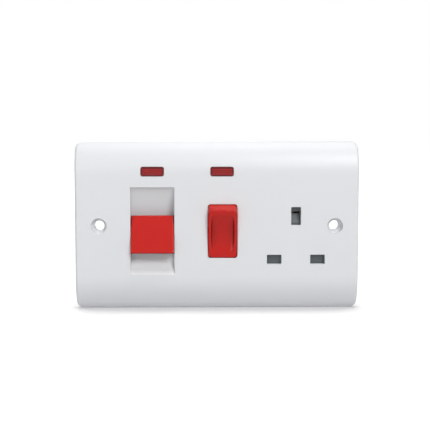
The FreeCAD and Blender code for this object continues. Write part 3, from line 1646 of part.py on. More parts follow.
def add_shelves(base):
    """The earth terminal's shelf, and the tab that backs the socket's neon holder."""
    half = s.earth_block_width / 2
    front = earth_strap_front - s.earth_block_depth
    x = s.outlet_across
    top = s.socket_base_top + ROOT + s.earth_block_height
    pad(
        base, "Y", front - s.rear_cover_thickness, front,
        rectangle(x - half, x + half, s.socket_base_top - ROOT, top),
    )
    neon_x = s.socket_neon_across
    tab_half = s.neon_width / 2 + s.rear_cover_thickness
    pad(
        base, "Y", flange_front, flange_front + s.rear_cover_thickness,
        rectangle(neon_x - tab_half, neon_x + tab_half, s.socket_base_top - ROOT, holder_high),
    )


holder_low = neon_line - s.neon_height / 2 - s.neon_flange - ROOT
holder_high = neon_line + s.neon_height / 2 + s.neon_flange + s.holder_rise


def socket_rear_cover():
    """The cover screwed on behind, with ribs that hold the straps in their channels."""
    cover = new_body("socket_rear_cover")
    front, rear = s.socket_base_rear, s.socket_base_rear + s.rear_cover_thickness
    left, right, waist = s.socket_base_left, socket_base_right, socket_base_waist
    pad(
        cover, "Y", front, rear,
        [
            (left, socket_base_bottom),
            (right, socket_base_bottom),
            (right, s.waist_height),
            (waist, s.waist_height),
            (waist, s.socket_base_top),
            (left, s.socket_base_top),
        ],
    )
    half = s.rib_thickness / 2
    rib_x = (s.rocker_across + s.outlet_across) / 2
    pad(
        cover, "Y", link_rear, front + ROOT,
        rectangle(rib_x - half, rib_x + half, busbar_line - half_strap, busbar_line + half_strap),
        rectangle(neutral_x - half_strap, neutral_x + half_strap, line_z - half, line_z + half),
        rectangle(live_x - half_strap, live_x + half_strap, line_z - half, line_z + half),
        rectangle(
            s.socket_base_left + half, s.rocker_across,
            live_link_line - half, live_link_line + half,
        ),
    )
    holes = [circle(x, z, s.base_screw / 2 + s.slide_gap) for x, z in cover_screws]
    access = [circle(x, z, s.base_screw_head / 2 + s.fit_gap) for x, z in socket_pillars]
    pocket(cover, "Y", front - PAST, rear + PAST, *holes, *access)


def moulding_screws():
    """The self-tapping screws, one node for each moulding that they hold."""
    radius = s.base_screw / 2
    head = s.base_screw_head / 2
    cover_seat = s.socket_base_rear + s.rear_cover_thickness
    groups = [
        ("cooker_base_screws", cooker_pillars, flange_rear, inner_face),
        ("socket_base_screws", socket_pillars, screw_seat, inner_face),
        ("socket_cover_screws", cover_screws, cover_seat, s.socket_base_rear - 2 * s.rear_cover_thickness),
    ]
    for label, places, seat, tip in groups:
        screws = [screw(x, tip, z, radius, seat - tip, head) for x, z in places]
        name_piece(fuse(*screws), label)


def shutter():
    """The safety shutter. The earth pin rides down its ramp and lowers it."""
    plate = new_body("shutter")
    x = s.outlet_across
    pad(
        plate, "Y", shutter_front, shutter_rear,
        [
            (x - shutter_low_half, shutter_bottom),
            (x + shutter_low_half, shutter_bottom),
            (x + shutter_low_half, shutter_shoulder),
            (x + shutter_top_half, shutter_shoulder),
            (x + shutter_top_half, shutter_top),
            (x - shutter_top_half, shutter_top),
            (x - shutter_top_half, shutter_shoulder),
            (x - shutter_low_half, shutter_shoulder),
        ],
    )
    pad(
        plate, "Y", shutter_rear - ROOT, base_front - s.fit_gap,
        rectangle(
            x - s.shutter_spring_radius, x + s.shutter_spring_radius,
            shutter_bottom, shutter_bottom + s.shutter_margin,
        ),
    )
    window_z = line_z + s.shutter_travel
    windows = [
        aperture(px, window_z, s.line_width, s.line_length, s.slide_gap) for px in (neutral_x, live_x)
    ]
    gap = s.fit_gap
    pocket(
        plate, "Y", shutter_front - PAST, shutter_rear + PAST,
        *windows,
        rectangle(
            x - guide_half - gap, x + guide_half + gap,
            guide_low - gap, guide_high + s.shutter_travel + gap,
        ),
    )
    ramp_half = s.earth_width / 2 - gap
    ramp_low = s.earth_height - s.earth_length / 2
    pocket(
        plate, "X", x - ramp_half, x + ramp_half,
        [
            (shutter_front - PAST, ramp_low + s.shutter_travel + PAST),
            (shutter_front - PAST, ramp_low + s.shutter_margin),
            (shutter_front, ramp_low + s.shutter_margin),
            (shutter_rear, ramp_low + s.shutter_travel),
            (shutter_rear + PAST, ramp_low + s.shutter_travel),
            (shutter_rear + PAST, ramp_low + s.shutter_travel + PAST),
        ],
    )


def shutter_spring():
    length = shutter_bottom - spring_foot
    wire = s.shutter_spring_wire
    coil = spring(
        (s.outlet_across, spring_y, spring_foot + wire / 2), ((0, 0, 1), 0),
        s.shutter_spring_radius, wire, length, 5,
    )
    name_piece(coil, "shutter_spring")


# Each neon: a lens in its window, a lamp behind it and a holder with a trough for the
# lamp's resistor.
def neon(name, x):
    lens = new_body(f"{name}_neon_lens")
    half_x = s.neon_width / 2 - s.touch_gap
    half_z = s.neon_height / 2 - s.touch_gap
    z = neon_line
    flange_end = lens_seat + s.neon_flange_thickness
    lip = s.neon_flange
    pad(
        lens, "Y", face, lens_seat,
        rounded_rectangle(x - half_x, x + half_x, z - half_z, z + half_z, s.neon_round),
    )
    pad(
        lens, "Y", lens_seat, flange_end,
        rectangle(x - half_x - lip, x + half_x + lip, z - half_z - lip, z + half_z + lip),
    )
    pocket(lens, "X", x - s.neon_width, x + s.neon_width, crown_waste(1, s.neon_recess))
    flute = s.neon_height / 8
    pocket(
        lens, "X", x - half_x + PAST, x + half_x - PAST,
        *[circle(flange_end + flute / 2, z + step * 2 * flute, flute) for step in (-1, 0, 1)],
    )

    holder_half = s.neon_width / 2 + s.rear_cover_thickness
    lamp_y = flange_end + s.slide_gap + s.lamp_radius + s.neon_flange
    trough_z = z + s.neon_height / 2 + s.resistor_rise
    trough_floor = lamp_y + PAST
    trough = s.lamp_radius / 2 + s.slide_gap
    lamp_room = s.lamp_radius + s.slide_gap
    body = block(
        (x - holder_half, flange_end, holder_low), (x + holder_half, flange_front, holder_high)
    )
    lamp_length = s.lamp_length
    tools = [
        block(
            (x - lamp_length / 2 - s.slide_gap, flange_end - PAST, z - lamp_room),
            (x + lamp_length / 2 + s.slide_gap, lamp_y, z + lamp_room),
        ),
        rod(
            "X", (x - lamp_length / 2 - s.slide_gap, lamp_y, z),
            lamp_room, lamp_length + 2 * s.slide_gap,
        ),
        block(
            (x - lamp_length / 3, flange_end - PAST, trough_z - trough),
            (x + lamp_length / 3, trough_floor, trough_z + trough),
        ),
        block(
            (x - holder_half - PAST, flange_end - PAST, trough_z - trough),
            (x + holder_half + PAST, flange_end + PAST, holder_high + PAST),
        ),
    ]
    name_piece(cut(body, *tools), f"{name}_neon_holder")
    bulb_length = lamp_length - s.lamp_radius
    glass = many_sided_rod(
        "X", (x - lamp_length / 2, lamp_y, z), s.lamp_radius, bulb_length, HEAD_SIDES
    )
    tip = many_sided_rod(
        "X", (x - lamp_length / 2, lamp_y, z), s.lamp_radius / 2, lamp_length, HEAD_SIDES
    )
    name_piece(fuse(glass, tip), f"{name}_neon_lamp")
    resistor_radius = s.lamp_radius / 2
    resistor_length = 2 * lamp_length / 3 - 2 * s.slide_gap
    resistor = many_sided_rod(
        "X",
        (x - resistor_length / 2, trough_floor - resistor_radius - s.slide_gap, trough_z),
        resistor_radius, resistor_length, HEAD_SIDES,
    )
    name_piece(resistor, f"{name}_neon_resistor")


cooker_switch_base()
socket_base()
socket_rear_cover()
moulding_screws()
shutter()
shutter_spring()
for neon_name, neon_x in neon_places:
    neon(neon_name, neon_x)


def check_document():
    """Stop if any object failed, or if a sub-part is empty or not valid."""
    faults = [
        f"{thing.Label}: {thing.State}"
        for thing in doc.Objects
        if "Invalid" in thing.State or "Error" in thing.State
    ]
    for piece in pieces:
        shape = piece.Shape
        if shape.isNull() or not shape.isValid() or not shape.Solids:
            faults.append(f"{piece.Label}: its shape is empty or not valid")
    if faults:
        raise SystemExit("\n".join(faults))


doc.recompute()
check_document()
os.makedirs("parts", exist_ok=True)
for piece in pieces:
    piece.Shape.exportStep(f"parts/{piece.Label}.step")
    print(f"{piece.Label}: {len(piece.Shape.Solids)} solid, {piece.Shape.Volume:.1f} mm3")
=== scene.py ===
"""Looks of the cooker control unit: materials, screws, springs, neon lamps, light and camera.
Lengths are in metres."""
import json
import math
from collections import namedtuple

import bmesh
import bpy
from mathutils import Matrix, Vector

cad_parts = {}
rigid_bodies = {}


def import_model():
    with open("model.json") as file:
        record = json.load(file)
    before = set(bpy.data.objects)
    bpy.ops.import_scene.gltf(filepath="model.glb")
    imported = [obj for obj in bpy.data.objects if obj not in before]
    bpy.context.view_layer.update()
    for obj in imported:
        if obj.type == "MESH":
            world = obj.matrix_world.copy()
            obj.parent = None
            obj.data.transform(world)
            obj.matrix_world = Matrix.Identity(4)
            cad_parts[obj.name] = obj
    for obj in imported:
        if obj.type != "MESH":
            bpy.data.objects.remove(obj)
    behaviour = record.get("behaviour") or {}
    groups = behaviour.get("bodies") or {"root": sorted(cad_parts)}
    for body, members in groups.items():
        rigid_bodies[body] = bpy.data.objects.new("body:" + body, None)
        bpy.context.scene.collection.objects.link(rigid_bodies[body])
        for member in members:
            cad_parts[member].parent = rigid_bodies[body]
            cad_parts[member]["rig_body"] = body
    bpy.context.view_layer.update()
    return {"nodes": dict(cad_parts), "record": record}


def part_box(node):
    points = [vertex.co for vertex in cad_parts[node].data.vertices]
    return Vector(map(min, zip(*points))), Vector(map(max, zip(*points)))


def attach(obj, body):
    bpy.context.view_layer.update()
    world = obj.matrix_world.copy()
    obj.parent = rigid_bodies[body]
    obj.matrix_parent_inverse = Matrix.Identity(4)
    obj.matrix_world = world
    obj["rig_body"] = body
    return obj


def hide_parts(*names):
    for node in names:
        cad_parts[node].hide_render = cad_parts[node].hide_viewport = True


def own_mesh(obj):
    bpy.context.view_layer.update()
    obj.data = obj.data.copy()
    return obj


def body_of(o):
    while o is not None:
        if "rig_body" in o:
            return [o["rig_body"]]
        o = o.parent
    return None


# The camera is near the plate and a little above its middle, so each fixing hole shows its
# outer and lower wall.
AIM = Vector((-0.0011, -0.0095, 0.0057))
CAMERA_OFFSET = Vector((-0.010, -0.518, 0.046))
VIEW_WIDTH = 0.219
SENSOR_MM = 36.0

# The floor lies under the plate's lower edge. Within CONTACT_REACH of what stands on it, its
# colour goes down to CONTACT_SHADE: a painted contact shadow.
FLOOR_Z = -0.043
FLOOR_SIZE = 6.0
FLOOR_GREY = (0.60, 0.60, 0.61)
CONTACT_REACH = 0.032
CONTACT_SHADE = (0.44, 0.44, 0.45)
WHITE = (1.0, 1.0, 1.0)

# How brightly the floor glows where it is seen, and the share of that glow in its look.
FLOOR_GLOW = 1.60
GLOW_SHARE = 0.62

# The even light of the surround, and the square lamps: name, place, size and watts.
WORLD_COLOR = (0.97, 0.98, 1.0)
WORLD_LEVEL = 0.09
LAMPS = (
    ("key", (0.76, -1.75, 1.22), 0.80, 26.3),
    ("top", (0.10, -0.60, 1.90), 0.80, 13.5),
    ("fill", (-0.80, -1.75, 0.20), 1.00, 7.2),
    ("back", (-0.35, 1.20, 1.00), 0.90, 12.0),
)

# The red plastic of both rockers. Within HOLLOW_REACH of the walls of a hollow its colour
# goes down to HOLLOW_SHADE of itself: shade painted into the hollows.
RED_PLASTIC = {
    "color": (0.560, 0.010, 0.006), "roughness": 0.22, "grain": 0.0000012, "edge": 0.0006,
    "variation": 0.01, "shine": 0.25, "waviness": 0.2,
}
HOLLOW_REACH = 0.012
HOLLOW_SHADE = 0.42

# A neon lens with its flange, across, front to back and high, and half the brighter core of its
# face, with the distance from that core at which its dark rim, shade painted round the face's
# edge, starts and is full.
LENS_SIZE = (0.0131, 0.0, 0.0061)
LENS_CORE = (0.0048, 0.0, 0.0013)
LENS_RIM_SHADE = (0.00010, 0.00050)
FLUTE_SCALE = 290.0

# The screws of a node: their places across and up, radii of thread and head, pitch and recess.
Screws = namedtuple("Screws", "node places thread head pitch recess")
CASE_SCREW = {"thread": 0.00145, "head": 0.00250, "pitch": 0.00110, "recess": "cross"}
SCREWS = (
    Screws(
        "mains_terminal_screws",
        [(x, z) for x in (-0.0405, -0.0255) for z in (-0.03035, -0.02385, 0.01975, 0.02625)],
        thread=0.00250, head=0.00300, pitch=0.00080, recess="slot"),
    Screws(
        "earth_terminal_screws", [(0.0343, 0.0239), (0.0463, 0.0239)],
        thread=0.00200, head=0.00300, pitch=0.00070, recess="slot"),
    Screws(
        "cooker_base_screws",
        [(x, z) for x in (-0.0506, -0.0154) for z in (-0.0240, 0.0120)], **CASE_SCREW),
    Screws(
        "socket_base_screws",
        [(0.0175, 0.0060), (0.0175, -0.0130), (0.0494, -0.0304)], **CASE_SCREW),
    Screws(
        "socket_cover_screws",
        [(-0.0053, 0.0153), (0.0143, -0.0215), (0.0360, -0.0280)], **CASE_SCREW),
)
HEAD_HEIGHT = 0.0020
HEAD_OVERLAP = 0.0001
HEAD_CHAMFER = 0.0002
SLOT_WIDTH = 0.0010
SLOT_DEPTH = 0.0011
CROSS_DEPTH = 0.0012
POINT_LENGTH = 0.0020

# Degrees that a screw is turned for each metre of its place across, and twice that up.
SCREW_TURN = 7000.0

# A spring: its node, foot and way, radius to the wire's middle, wire, length and turns, and
# the joint that presses it with how far it does.
Spring = namedtuple("Spring", "node foot way radius wire length turns joint travel")
COOKER_SPRING = {
    "way": (0.0, 0.9613, -0.2756), "radius": 0.00160, "wire": 0.00060, "length": 0.0076,
    "turns": 5, "travel": 0.0012,
}
SPRINGS = (
    Spring("cooker_live_spring", (-0.0270, -0.00612, -0.00470),
           joint="cooker_live_plunger_slide", **COOKER_SPRING),
    Spring("cooker_neutral_spring", (-0.0390, -0.00612, -0.00470),
           joint="cooker_neutral_plunger_slide", **COOKER_SPRING),
    Spring("socket_spring", (0.0028, -0.00839, -0.00331), way=(0.0, 0.9854, 0.1702),
           radius=0.00120, wire=0.00050, length=0.0078, turns=6,
           joint="socket_plunger_slide", travel=0.0012),
    Spring("shutter_spring", (0.0403, -0.00439, -0.0300), way=(0.0, 0.0, 1.0),
           radius=0.00130, wire=0.00040, length=0.0093, turns=5,
           joint="shutter_slide", travel=0.0060),
)

# A neon lamp's glass: its wall, the share of its length that is hollow, and the least radius
# of that hollow.
GLASS_WALL = 0.00035
GLASS_HOLLOW_LENGTH = 0.95
GLASS_HOLLOW_TIP = 0.00008

# The two rods in the glass: their radius, and how far they are from its middle and its ends.
ROD_RADIUS = 0.00030
ROD_OFFSET = 0.00070
ROD_FOOT = 0.0008
ROD_TIP = 0.0034

# A resistor's outline, in shares of its half length and radius, with the lacquer that follows
# each point: 0 its body, 1 brown, 2 orange and 3 gold.
RESISTOR_OUTLINE = (
    (-1.00, 0.30, 0), (-0.97, 0.80, 0), (-0.90, 1.00, 0), (-0.70, 1.00, 1),
    (-0.52, 0.94, 0), (-0.40, 0.84, 2), (-0.24, 0.84, 0), (-0.10, 0.84, 2),
    (0.06, 0.84, 0), (0.36, 0.84, 3), (0.52, 0.94, 0), (0.70, 1.00, 0),
    (0.90, 1.00, 0), (0.97, 0.80, 0), (1.00, 0.30, 0),
)

# Edges that turn by more degrees than this stay sharp.
SHARP_ANGLE = 38.0


def new_material(name):
    """A material with nodes, its tree and its shader."""
    material = bpy.data.materials.new(name)
    material.use_nodes = True
    tree = material.node_tree
    shader = tree.nodes["Principled BSDF"]
    return material, tree, shader


def coordinates(tree, scale):
    """The object's own coordinates, stretched by scale."""
    where = tree.nodes.new("ShaderNodeTexCoord")
    mapping = tree.nodes.new("ShaderNodeMapping")
    mapping.inputs["Scale"].default_value = scale
    tree.links.new(where.outputs["Object"], mapping.inputs["Vector"])
    return mapping.outputs["Vector"]


def noise(tree, scale, detail, stretch=(1.0, 1.0, 1.0)):
    """A noise texture's value, drawn out along an axis whose stretch is under 1."""
    node = tree.nodes.new("ShaderNodeTexNoise")
    node.inputs["Scale"].default_value = scale
    node.inputs["Detail"].default_value = detail
    tree.links.new(coordinates(tree, stretch), node.inputs["Vector"])
    return node.outputs["Fac"]


def spread(tree, value, low=0.0, high=1.0, first=0.3, last=0.7):
    """The value, moved from first and last, the middle of a noise, to low and high."""
    node = tree.nodes.new("ShaderNodeMapRange")
    node.inputs["From Min"].default_value = first
    node.inputs["From Max"].default_value = last
    node.inputs["To Min"].default_value = low
    node.inputs["To Max"].default_value = high
    tree.links.new(value, node.inputs["Value"])
    return node.outputs["Result"]


def tint(tree, value, dark, light):
    """A colour between dark and light, each of them a colour or another node's output."""
    node = tree.nodes.new("ShaderNodeMix")
    node.data_type = "RGBA"
    for name, color in (("A", dark), ("B", light)):
        if isinstance(color, tuple):
            node.inputs[name].default_value = (*color, 1.0)
        else:
            tree.links.new(color, node.inputs[name])
    tree.links.new(value, node.inputs["Factor"])
    return node.outputs["Result"]


def bump(tree, height, depth, under):
    """A bump of that depth, on top of another normal."""
    node = tree.nodes.new("ShaderNodeBump")
    node.inputs["Distance"].default_value = depth
    node.inputs["Strength"].default_value = 1.0
    tree.links.new(height, node.inputs["Height"])
    tree.links.new(under, node.inputs["Normal"])
    return node.outputs["Normal"]


def soft_edges(tree, radius):
    """Edges that catch the light as if rounded to that radius."""
    node = tree.nodes.new("ShaderNodeBevel")
    node.samples = 6
    node.inputs["Radius"].default_value = radius
    return node.outputs["Normal"]


def near_border(tree, size, core, first, last):
    """0 in a round-cornered core of an object of that size, 1 outside it."""
    where = tree.nodes.new("ShaderNodeTexCoord")
    vector = where.outputs["Generated"]
    steps = (
        ("SUBTRACT", (0.5, 0.5, 0.5)), ("ABSOLUTE", None), ("MULTIPLY", size),
        ("SUBTRACT", core), ("MAXIMUM", (0.0, 0.0, 0.0)), ("LENGTH", None),
    )
    for operation, amount in steps:
        node = tree.nodes.new("ShaderNodeVectorMath")
        node.operation = operation
        tree.links.new(vector, node.inputs[0])
        if amount is not None:
            node.inputs[1].default_value = amount
        vector = node.outputs["Value" if operation == "LENGTH" else "Vector"]
    return spread(tree, vector, first=first, last=last)


# Ambient occlusion: the floor and the red plastics paint shade into their colour with it.
def near_walls(tree, reach, own=False):
    """How open a point is: 1 in the open, less where walls stand within reach. With own, only
    the piece's own walls count."""
    node = tree.nodes.new("ShaderNodeAmbientOcclusion")
    node.inputs["Distance"].default_value = reach
    node.only_local = own
    return node.outputs["AO"]


def scaled(color, factor):
    """The colour made darker or lighter."""
    return tuple(min(1.0, part * factor) for part in color)


def plastic(
        name, color, roughness, grain, edge, variation=0.02, shine=0.5, waviness=0.7, painted_hollow_shade=None):
    """Moulded plastic: faint flow marks in its colour, a fine grain and rounded edges.
    The hollow shade argument paints shade into its colour in a hollow: how open a point is where
    that painted shade is full and where it starts, and whether only the piece's own walls count."""
    material, tree, shader = new_material(name)
    flow = noise(tree, scale=35.0, detail=4.0, stretch=(1.0, 1.0, 0.35))
    color_out = tint(
        tree, spread(tree, flow), scaled(color, 1.0 - variation), scaled(color, 1.0 + variation))
    # Painted shade: the colour goes darker where the walls of a hollow stand near.
    if painted_hollow_shade:
        full, clear, own = painted_hollow_shade
        openness = spread(tree, near_walls(tree, HOLLOW_REACH, own), first=full, last=clear)
        color_out = tint(tree, openness, scaled(color, HOLLOW_SHADE), color_out)
    tree.links.new(color_out, shader.inputs["Base Color"])
    wear = noise(tree, scale=240.0, detail=6.0)
    sheen = spread(tree, wear, roughness - 0.03, roughness + 0.04)
    tree.links.new(sheen, shader.inputs["Roughness"])
    fine = noise(tree, scale=2600.0, detail=3.0)
    broad = noise(tree, scale=160.0, detail=2.0)
    normal = bump(tree, broad, grain * waviness, soft_edges(tree, edge))
    normal = bump(tree, fine, grain, normal)
    tree.links.new(normal, shader.inputs["Normal"])
    shader.inputs["IOR"].default_value = 1.5
    shader.inputs["Specular IOR Level"].default_value = shine
    return material


def metal(name, color, roughness, edge, stretch=(1.0, 1.0, 1.0)):
    """Rolled, drawn or turned metal: streaks along one way, some tarnish, rounded edges."""
    material, tree, shader = new_material(name)
    shader.inputs["Metallic"].default_value = 1.0
    tarnish = spread(tree, noise(tree, scale=180.0, detail=5.0))
    color_out = tint(tree, tarnish, scaled(color, 0.86), scaled(color, 1.06))
    tree.links.new(color_out, shader.inputs["Base Color"])
    streaks = noise(tree, scale=900.0, detail=3.0, stretch=stretch)
    sheen = spread(tree, streaks, roughness - 0.08, roughness + 0.12)
    tree.links.new(sheen, shader.inputs["Roughness"])
    normal = bump(tree, streaks, depth=0.000006, under=soft_edges(tree, edge))
    tree.links.new(normal, shader.inputs["Normal"])
    return material


def red_lens():
    """Clear red plastic with flutes behind it that show as streaks across, and shade painted
    in a dark rim round its face.
    """
    material, tree, shader = new_material("red_lens_look")
    wave = tree.nodes.new("ShaderNodeTexWave")
    wave.bands_direction = "Z"
    wave.inputs["Scale"].default_value = FLUTE_SCALE
    wave.inputs["Distortion"].default_value = 0.6
    wave.inputs["Detail Scale"].default_value = 120.0
    tree.links.new(coordinates(tree, (0.05, 0.05, 1.0)), wave.inputs["Vector"])
    flutes = wave.outputs["Fac"]
    core = tint(tree, flutes, (0.175, 0.005, 0.007), (0.480, 0.012, 0.013))
    # Painted shade: a dark rim round the lens's face.
    rim = near_border(tree, LENS_SIZE, LENS_CORE, *LENS_RIM_SHADE)
    color_out = tint(tree, rim, core, (0.150, 0.008, 0.012))
    tree.links.new(color_out, shader.inputs["Base Color"])
    tree.links.new(spread(tree, flutes, 0.16, 0.24), shader.inputs["Roughness"])
    normal = bump(tree, flutes, depth=0.00004, under=soft_edges(tree, 0.0003))
    tree.links.new(normal, shader.inputs["Normal"])
    shader.inputs["Transmission Weight"].default_value = 0.15
    shader.inputs["IOR"].default_value = 1.49
    shader.inputs["Specular IOR Level"].default_value = 0.25
    return material


def lamp_glass():
    """The bulb's clear glass, a little smoky inside."""
    material, tree, shader = new_material("lamp_glass_look")
    smoke = noise(tree, scale=500.0, detail=3.0)
    color_out = tint(tree, smoke, (0.95, 0.80, 0.68), (1.0, 0.93, 0.86))
    tree.links.new(color_out, shader.inputs["Base Color"])
    tree.links.new(spread(tree, smoke, 0.02, 0.08), shader.inputs["Roughness"])
    shader.inputs["Transmission Weight"].default_value = 0.85
    shader.inputs["IOR"].default_value = 1.47
    return material


def lacquer(name, color):
    """A coat of lacquer, a little uneven in its colour and sheen."""
    material, tree, shader = new_material(name)
    cloud = noise(tree, scale=900.0, detail=3.0)
    color_out = tint(tree, cloud, scaled(color, 0.86), scaled(color, 1.12))
    tree.links.new(color_out, shader.inputs["Base Color"])
    tree.links.new(spread(tree, cloud, 0.25, 0.40), shader.inputs["Roughness"])
    return material


def make_looks():
    """A look for each of the record's material slots, and those of the small rocker with its
    thumb hollow and of the resistors' bands."""
    return {
        "white_plate": plastic(
            "white_plate_look", (0.770, 0.782, 0.800), roughness=0.34, grain=0.0000012,
            edge=0.0003, variation=0.004),
        "red_rocker": plastic(
            "red_rocker_look", **RED_PLASTIC, painted_hollow_shade=(0.60, 0.94, False)),
        "dished_rocker": plastic(
            "dished_rocker_look", **RED_PLASTIC, painted_hollow_shade=(0.72, 0.995, True)),
        "white_moulding": plastic(
            "white_moulding_look", (0.700, 0.700, 0.680), roughness=0.46, grain=0.000008,
            edge=0.0003),
        "grey_moulding": plastic(
            "grey_moulding_look", (0.080, 0.094, 0.102), roughness=0.42, grain=0.000006,
            edge=0.0002),
        "cradle_moulding": plastic(
            "cradle_moulding_look", (0.660, 0.655, 0.630), roughness=0.48, grain=0.000008,
            edge=0.0003),
        "brass_contact": metal(
            "brass_contact_look", (0.780, 0.570, 0.270), roughness=0.30, edge=0.0001,
            stretch=(1.0, 1.0, 0.06)),
        "brass_terminal": metal(
            "brass_terminal_look", (0.760, 0.550, 0.260), roughness=0.34, edge=0.0003,
            stretch=(0.06, 1.0, 1.0)),
        "brass_plunger": metal(
            "brass_plunger_look", (0.800, 0.600, 0.300), roughness=0.26, edge=0.0001,
            stretch=(1.0, 0.1, 1.0)),
        "spring_steel": metal(
            "spring_steel_look", (0.560, 0.570, 0.590), roughness=0.28, edge=0.0001),
        "plated_screw": metal(
            "plated_screw_look", (0.680, 0.675, 0.630), roughness=0.32, edge=0.0002),
        "red_lens": red_lens(),
        "lamp_glass": lamp_glass(),
        "resistor_body": lacquer("resistor_body_look", (0.55, 0.42, 0.25)),
        "bands": [
            lacquer("brown_band_look", (0.16, 0.060, 0.030)),
            lacquer("orange_band_look", (0.72, 0.20, 0.030)),
            lacquer("gold_band_look", (0.52, 0.36, 0.090)),
        ],
    }


def dress_nodes(frame, looks):
    """Give each node the look of its slot, and the small rocker its own."""
    for part in frame["record"]["subparts"]:
        item = frame["nodes"][part["node"]]
        look = looks["dished_rocker" if part["node"] == "socket_rocker" else part["material_slot"]]
        for place in item.material_slots:
            place.material = look


def loop(bm, points):
    """New vertices at those points."""
    return [bm.verts.new(point) for point in points]


def skin(bm, loops, looks=None):
    """A band of faces from each closed loop to the next. looks gives the look of each band."""
    for row, (first, second) in enumerate(zip(loops, loops[1:])):
        for index in range(len(first)):
            after = (index + 1) % len(first)
            face = bm.faces.new((first[index], first[after], second[after], second[index]))
            face.material_index = looks[row] if looks else 0


def skin_closed(bm, loops, looks=None):
    """The bands with both ends closed."""
    skin(bm, loops, looks)
    bm.faces.new(loops[0])
    bm.faces.new(loops[-1])


def circle(along, radius, sides):
    """Points round the Y axis."""
    return [
        (radius * math.cos(2 * math.pi * step / sides), along,
         radius * math.sin(2 * math.pi * step / sides))
        for step in range(sides)
    ]


def turned(bm, profile, sides, looks=None):
    """A solid turned about the Y axis from (along, radius) pairs, closed at both ends."""
    loops = [loop(bm, circle(along, radius, sides)) for along, radius in profile]
    skin_closed(bm, loops, looks)


def add_to(bm, piece):
    """Move one bmesh's faces into another."""
    mesh = bpy.data.meshes.new("part")
    piece.to_mesh(mesh)
    piece.free()
    bm.from_mesh(mesh)
    bpy.data.meshes.remove(mesh)


def thread(bm, radius, pitch, start, end, point):
    """A shank whose ridge climbs round it, thinner over the length of its point."""
    sides = 20
    rows_per_turn = 6
    tip_share = 0.30
    core_share = 0.80
    rows = int(rows_per_turn * (end - start) / pitch)
    loops = []
    for row in range(rows + 1):
        along = start + (end - start) * row / rows
        lean = min(1.0, (along - start) / point) if point else 1.0
        points = []
        for step in range(sides):
            phase = (along / pitch - step / sides) % 1.0
            ridge = abs(2.0 * phase - 1.0)
            body = tip_share + (1.0 - tip_share) * lean
            reach = radius * body * (core_share + (1.0 - core_share) * ridge)
            angle = 2 * math.pi * step / sides
            points.append((reach * math.cos(angle), along, reach * math.sin(angle)))
        loops.append(loop(bm, points))
    skin_closed(bm, loops)


def slotted_head(bm, radius, start, end):
    """A cheese head: a disc with two halves that leave the slot between them."""
    steps = 18
    rounding = 0.0003
    floor = end - SLOT_DEPTH
    disc = [(start, radius * 0.96), (start + HEAD_CHAMFER, radius), (floor, radius)]
    turned(bm, disc, sides=40)
    for side in (-1.0, 1.0):
        loops = []
        for along, reach in ((floor, radius), (end - rounding, radius), (end, radius * 0.91)):
            first = math.asin(SLOT_WIDTH / 2 / reach)
            arc = [first + (math.pi - 2 * first) * step / steps for step in range(steps + 1)]
            loops.append(loop(
                bm, [(reach * math.cos(a), along, side * reach * math.sin(a)) for a in arc]))
        skin(bm, loops)
        bm.faces.new(loops[-1])


def cross_points(along, arm, half):
    """The outline of a cross recess, with its arm's length and half its width."""
    corner = [(half, half), (half, arm), (-half, arm)]
    points = []
    for quarter in range(4):
        turn = Matrix.Rotation(quarter * math.pi / 2, 2)
        points += [turn @ Vector(place) for place in corner]
    return [(point.x, along, point.y) for point in points]


def ring_edges(bm, ring):
    """The edges round a closed loop."""
    return [bm.edges.get((a, b)) for a, b in zip(ring, ring[1:] + ring[:1])]


def cross_head(bm, radius, start, end):
    """A pan head with a tapered cross recess."""
    profile = [
        (start, radius * 0.97), (start + HEAD_CHAMFER, radius), (end - 0.0009, radius * 0.97),
        (end - 0.0004, radius * 0.86), (end - 0.0001, radius * 0.70), (end, radius * 0.64),
    ]
    loops = [loop(bm, circle(along, reach, sides=36)) for along, reach in profile]
    skin(bm, loops)
    bm.faces.new(loops[0])
    mouth = loop(bm, cross_points(end, arm=radius * 0.56, half=radius * 0.13))
    foot = loop(bm, cross_points(end - CROSS_DEPTH, arm=radius * 0.26, half=radius * 0.08))
    skin(bm, [mouth, foot])
    bm.faces.new(foot)
    rim = ring_edges(bm, loops[-1]) + ring_edges(bm, mouth)
    bmesh.ops.triangle_fill(bm, use_beauty=True, use_dissolve=False, edges=rim)


def coil(bm, radius, wire, length, turns):
    """Round wire wound about the Y axis, closer at its two ends."""
    sides = 10
    steps_per_turn = 28
    end_closeness = 0.7
    steps = turns * steps_per_turn
    loops = []
    for step in range(steps + 1):
        share = step / steps
        angle = 2 * math.pi * turns * share
        eased = share - end_closeness * math.sin(2 * math.pi * share) / (2 * math.pi)
        out = Vector((math.cos(angle), 0.0, math.sin(angle)))
        middle = out * radius + Vector((0.0, (length - wire) * eased, 0.0))
        points = []
        for corner in range(sides):
            around = 2 * math.pi * corner / sides
            reach = out * math.cos(around) + Vector((0.0, math.sin(around), 0.0))
            points.append(middle + reach * wire / 2)
        loops.append(loop(bm, points))
    skin_closed(bm, loops)


def finished(frame, bm, name, looks, nodes, body_node):
    """The mesh as a piece with its looks. It stands for nodes, and rides with body_node."""
    bmesh.ops.recalc_face_normals(bm, faces=bm.faces)
    mesh = bpy.data.meshes.new(name)
    bm.to_mesh(mesh)
    bm.free()
    mesh.shade_smooth()
    mesh.set_sharp_from_angle(angle=math.radians(SHARP_ANGLE))
    for look in looks:
        mesh.materials.append(look)
    piece = bpy.data.objects.new(name, mesh)
    bpy.context.scene.collection.objects.link(piece)
    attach(piece, body_of(frame["nodes"][body_node])[0])
    if nodes:
        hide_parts(*nodes)
    return piece


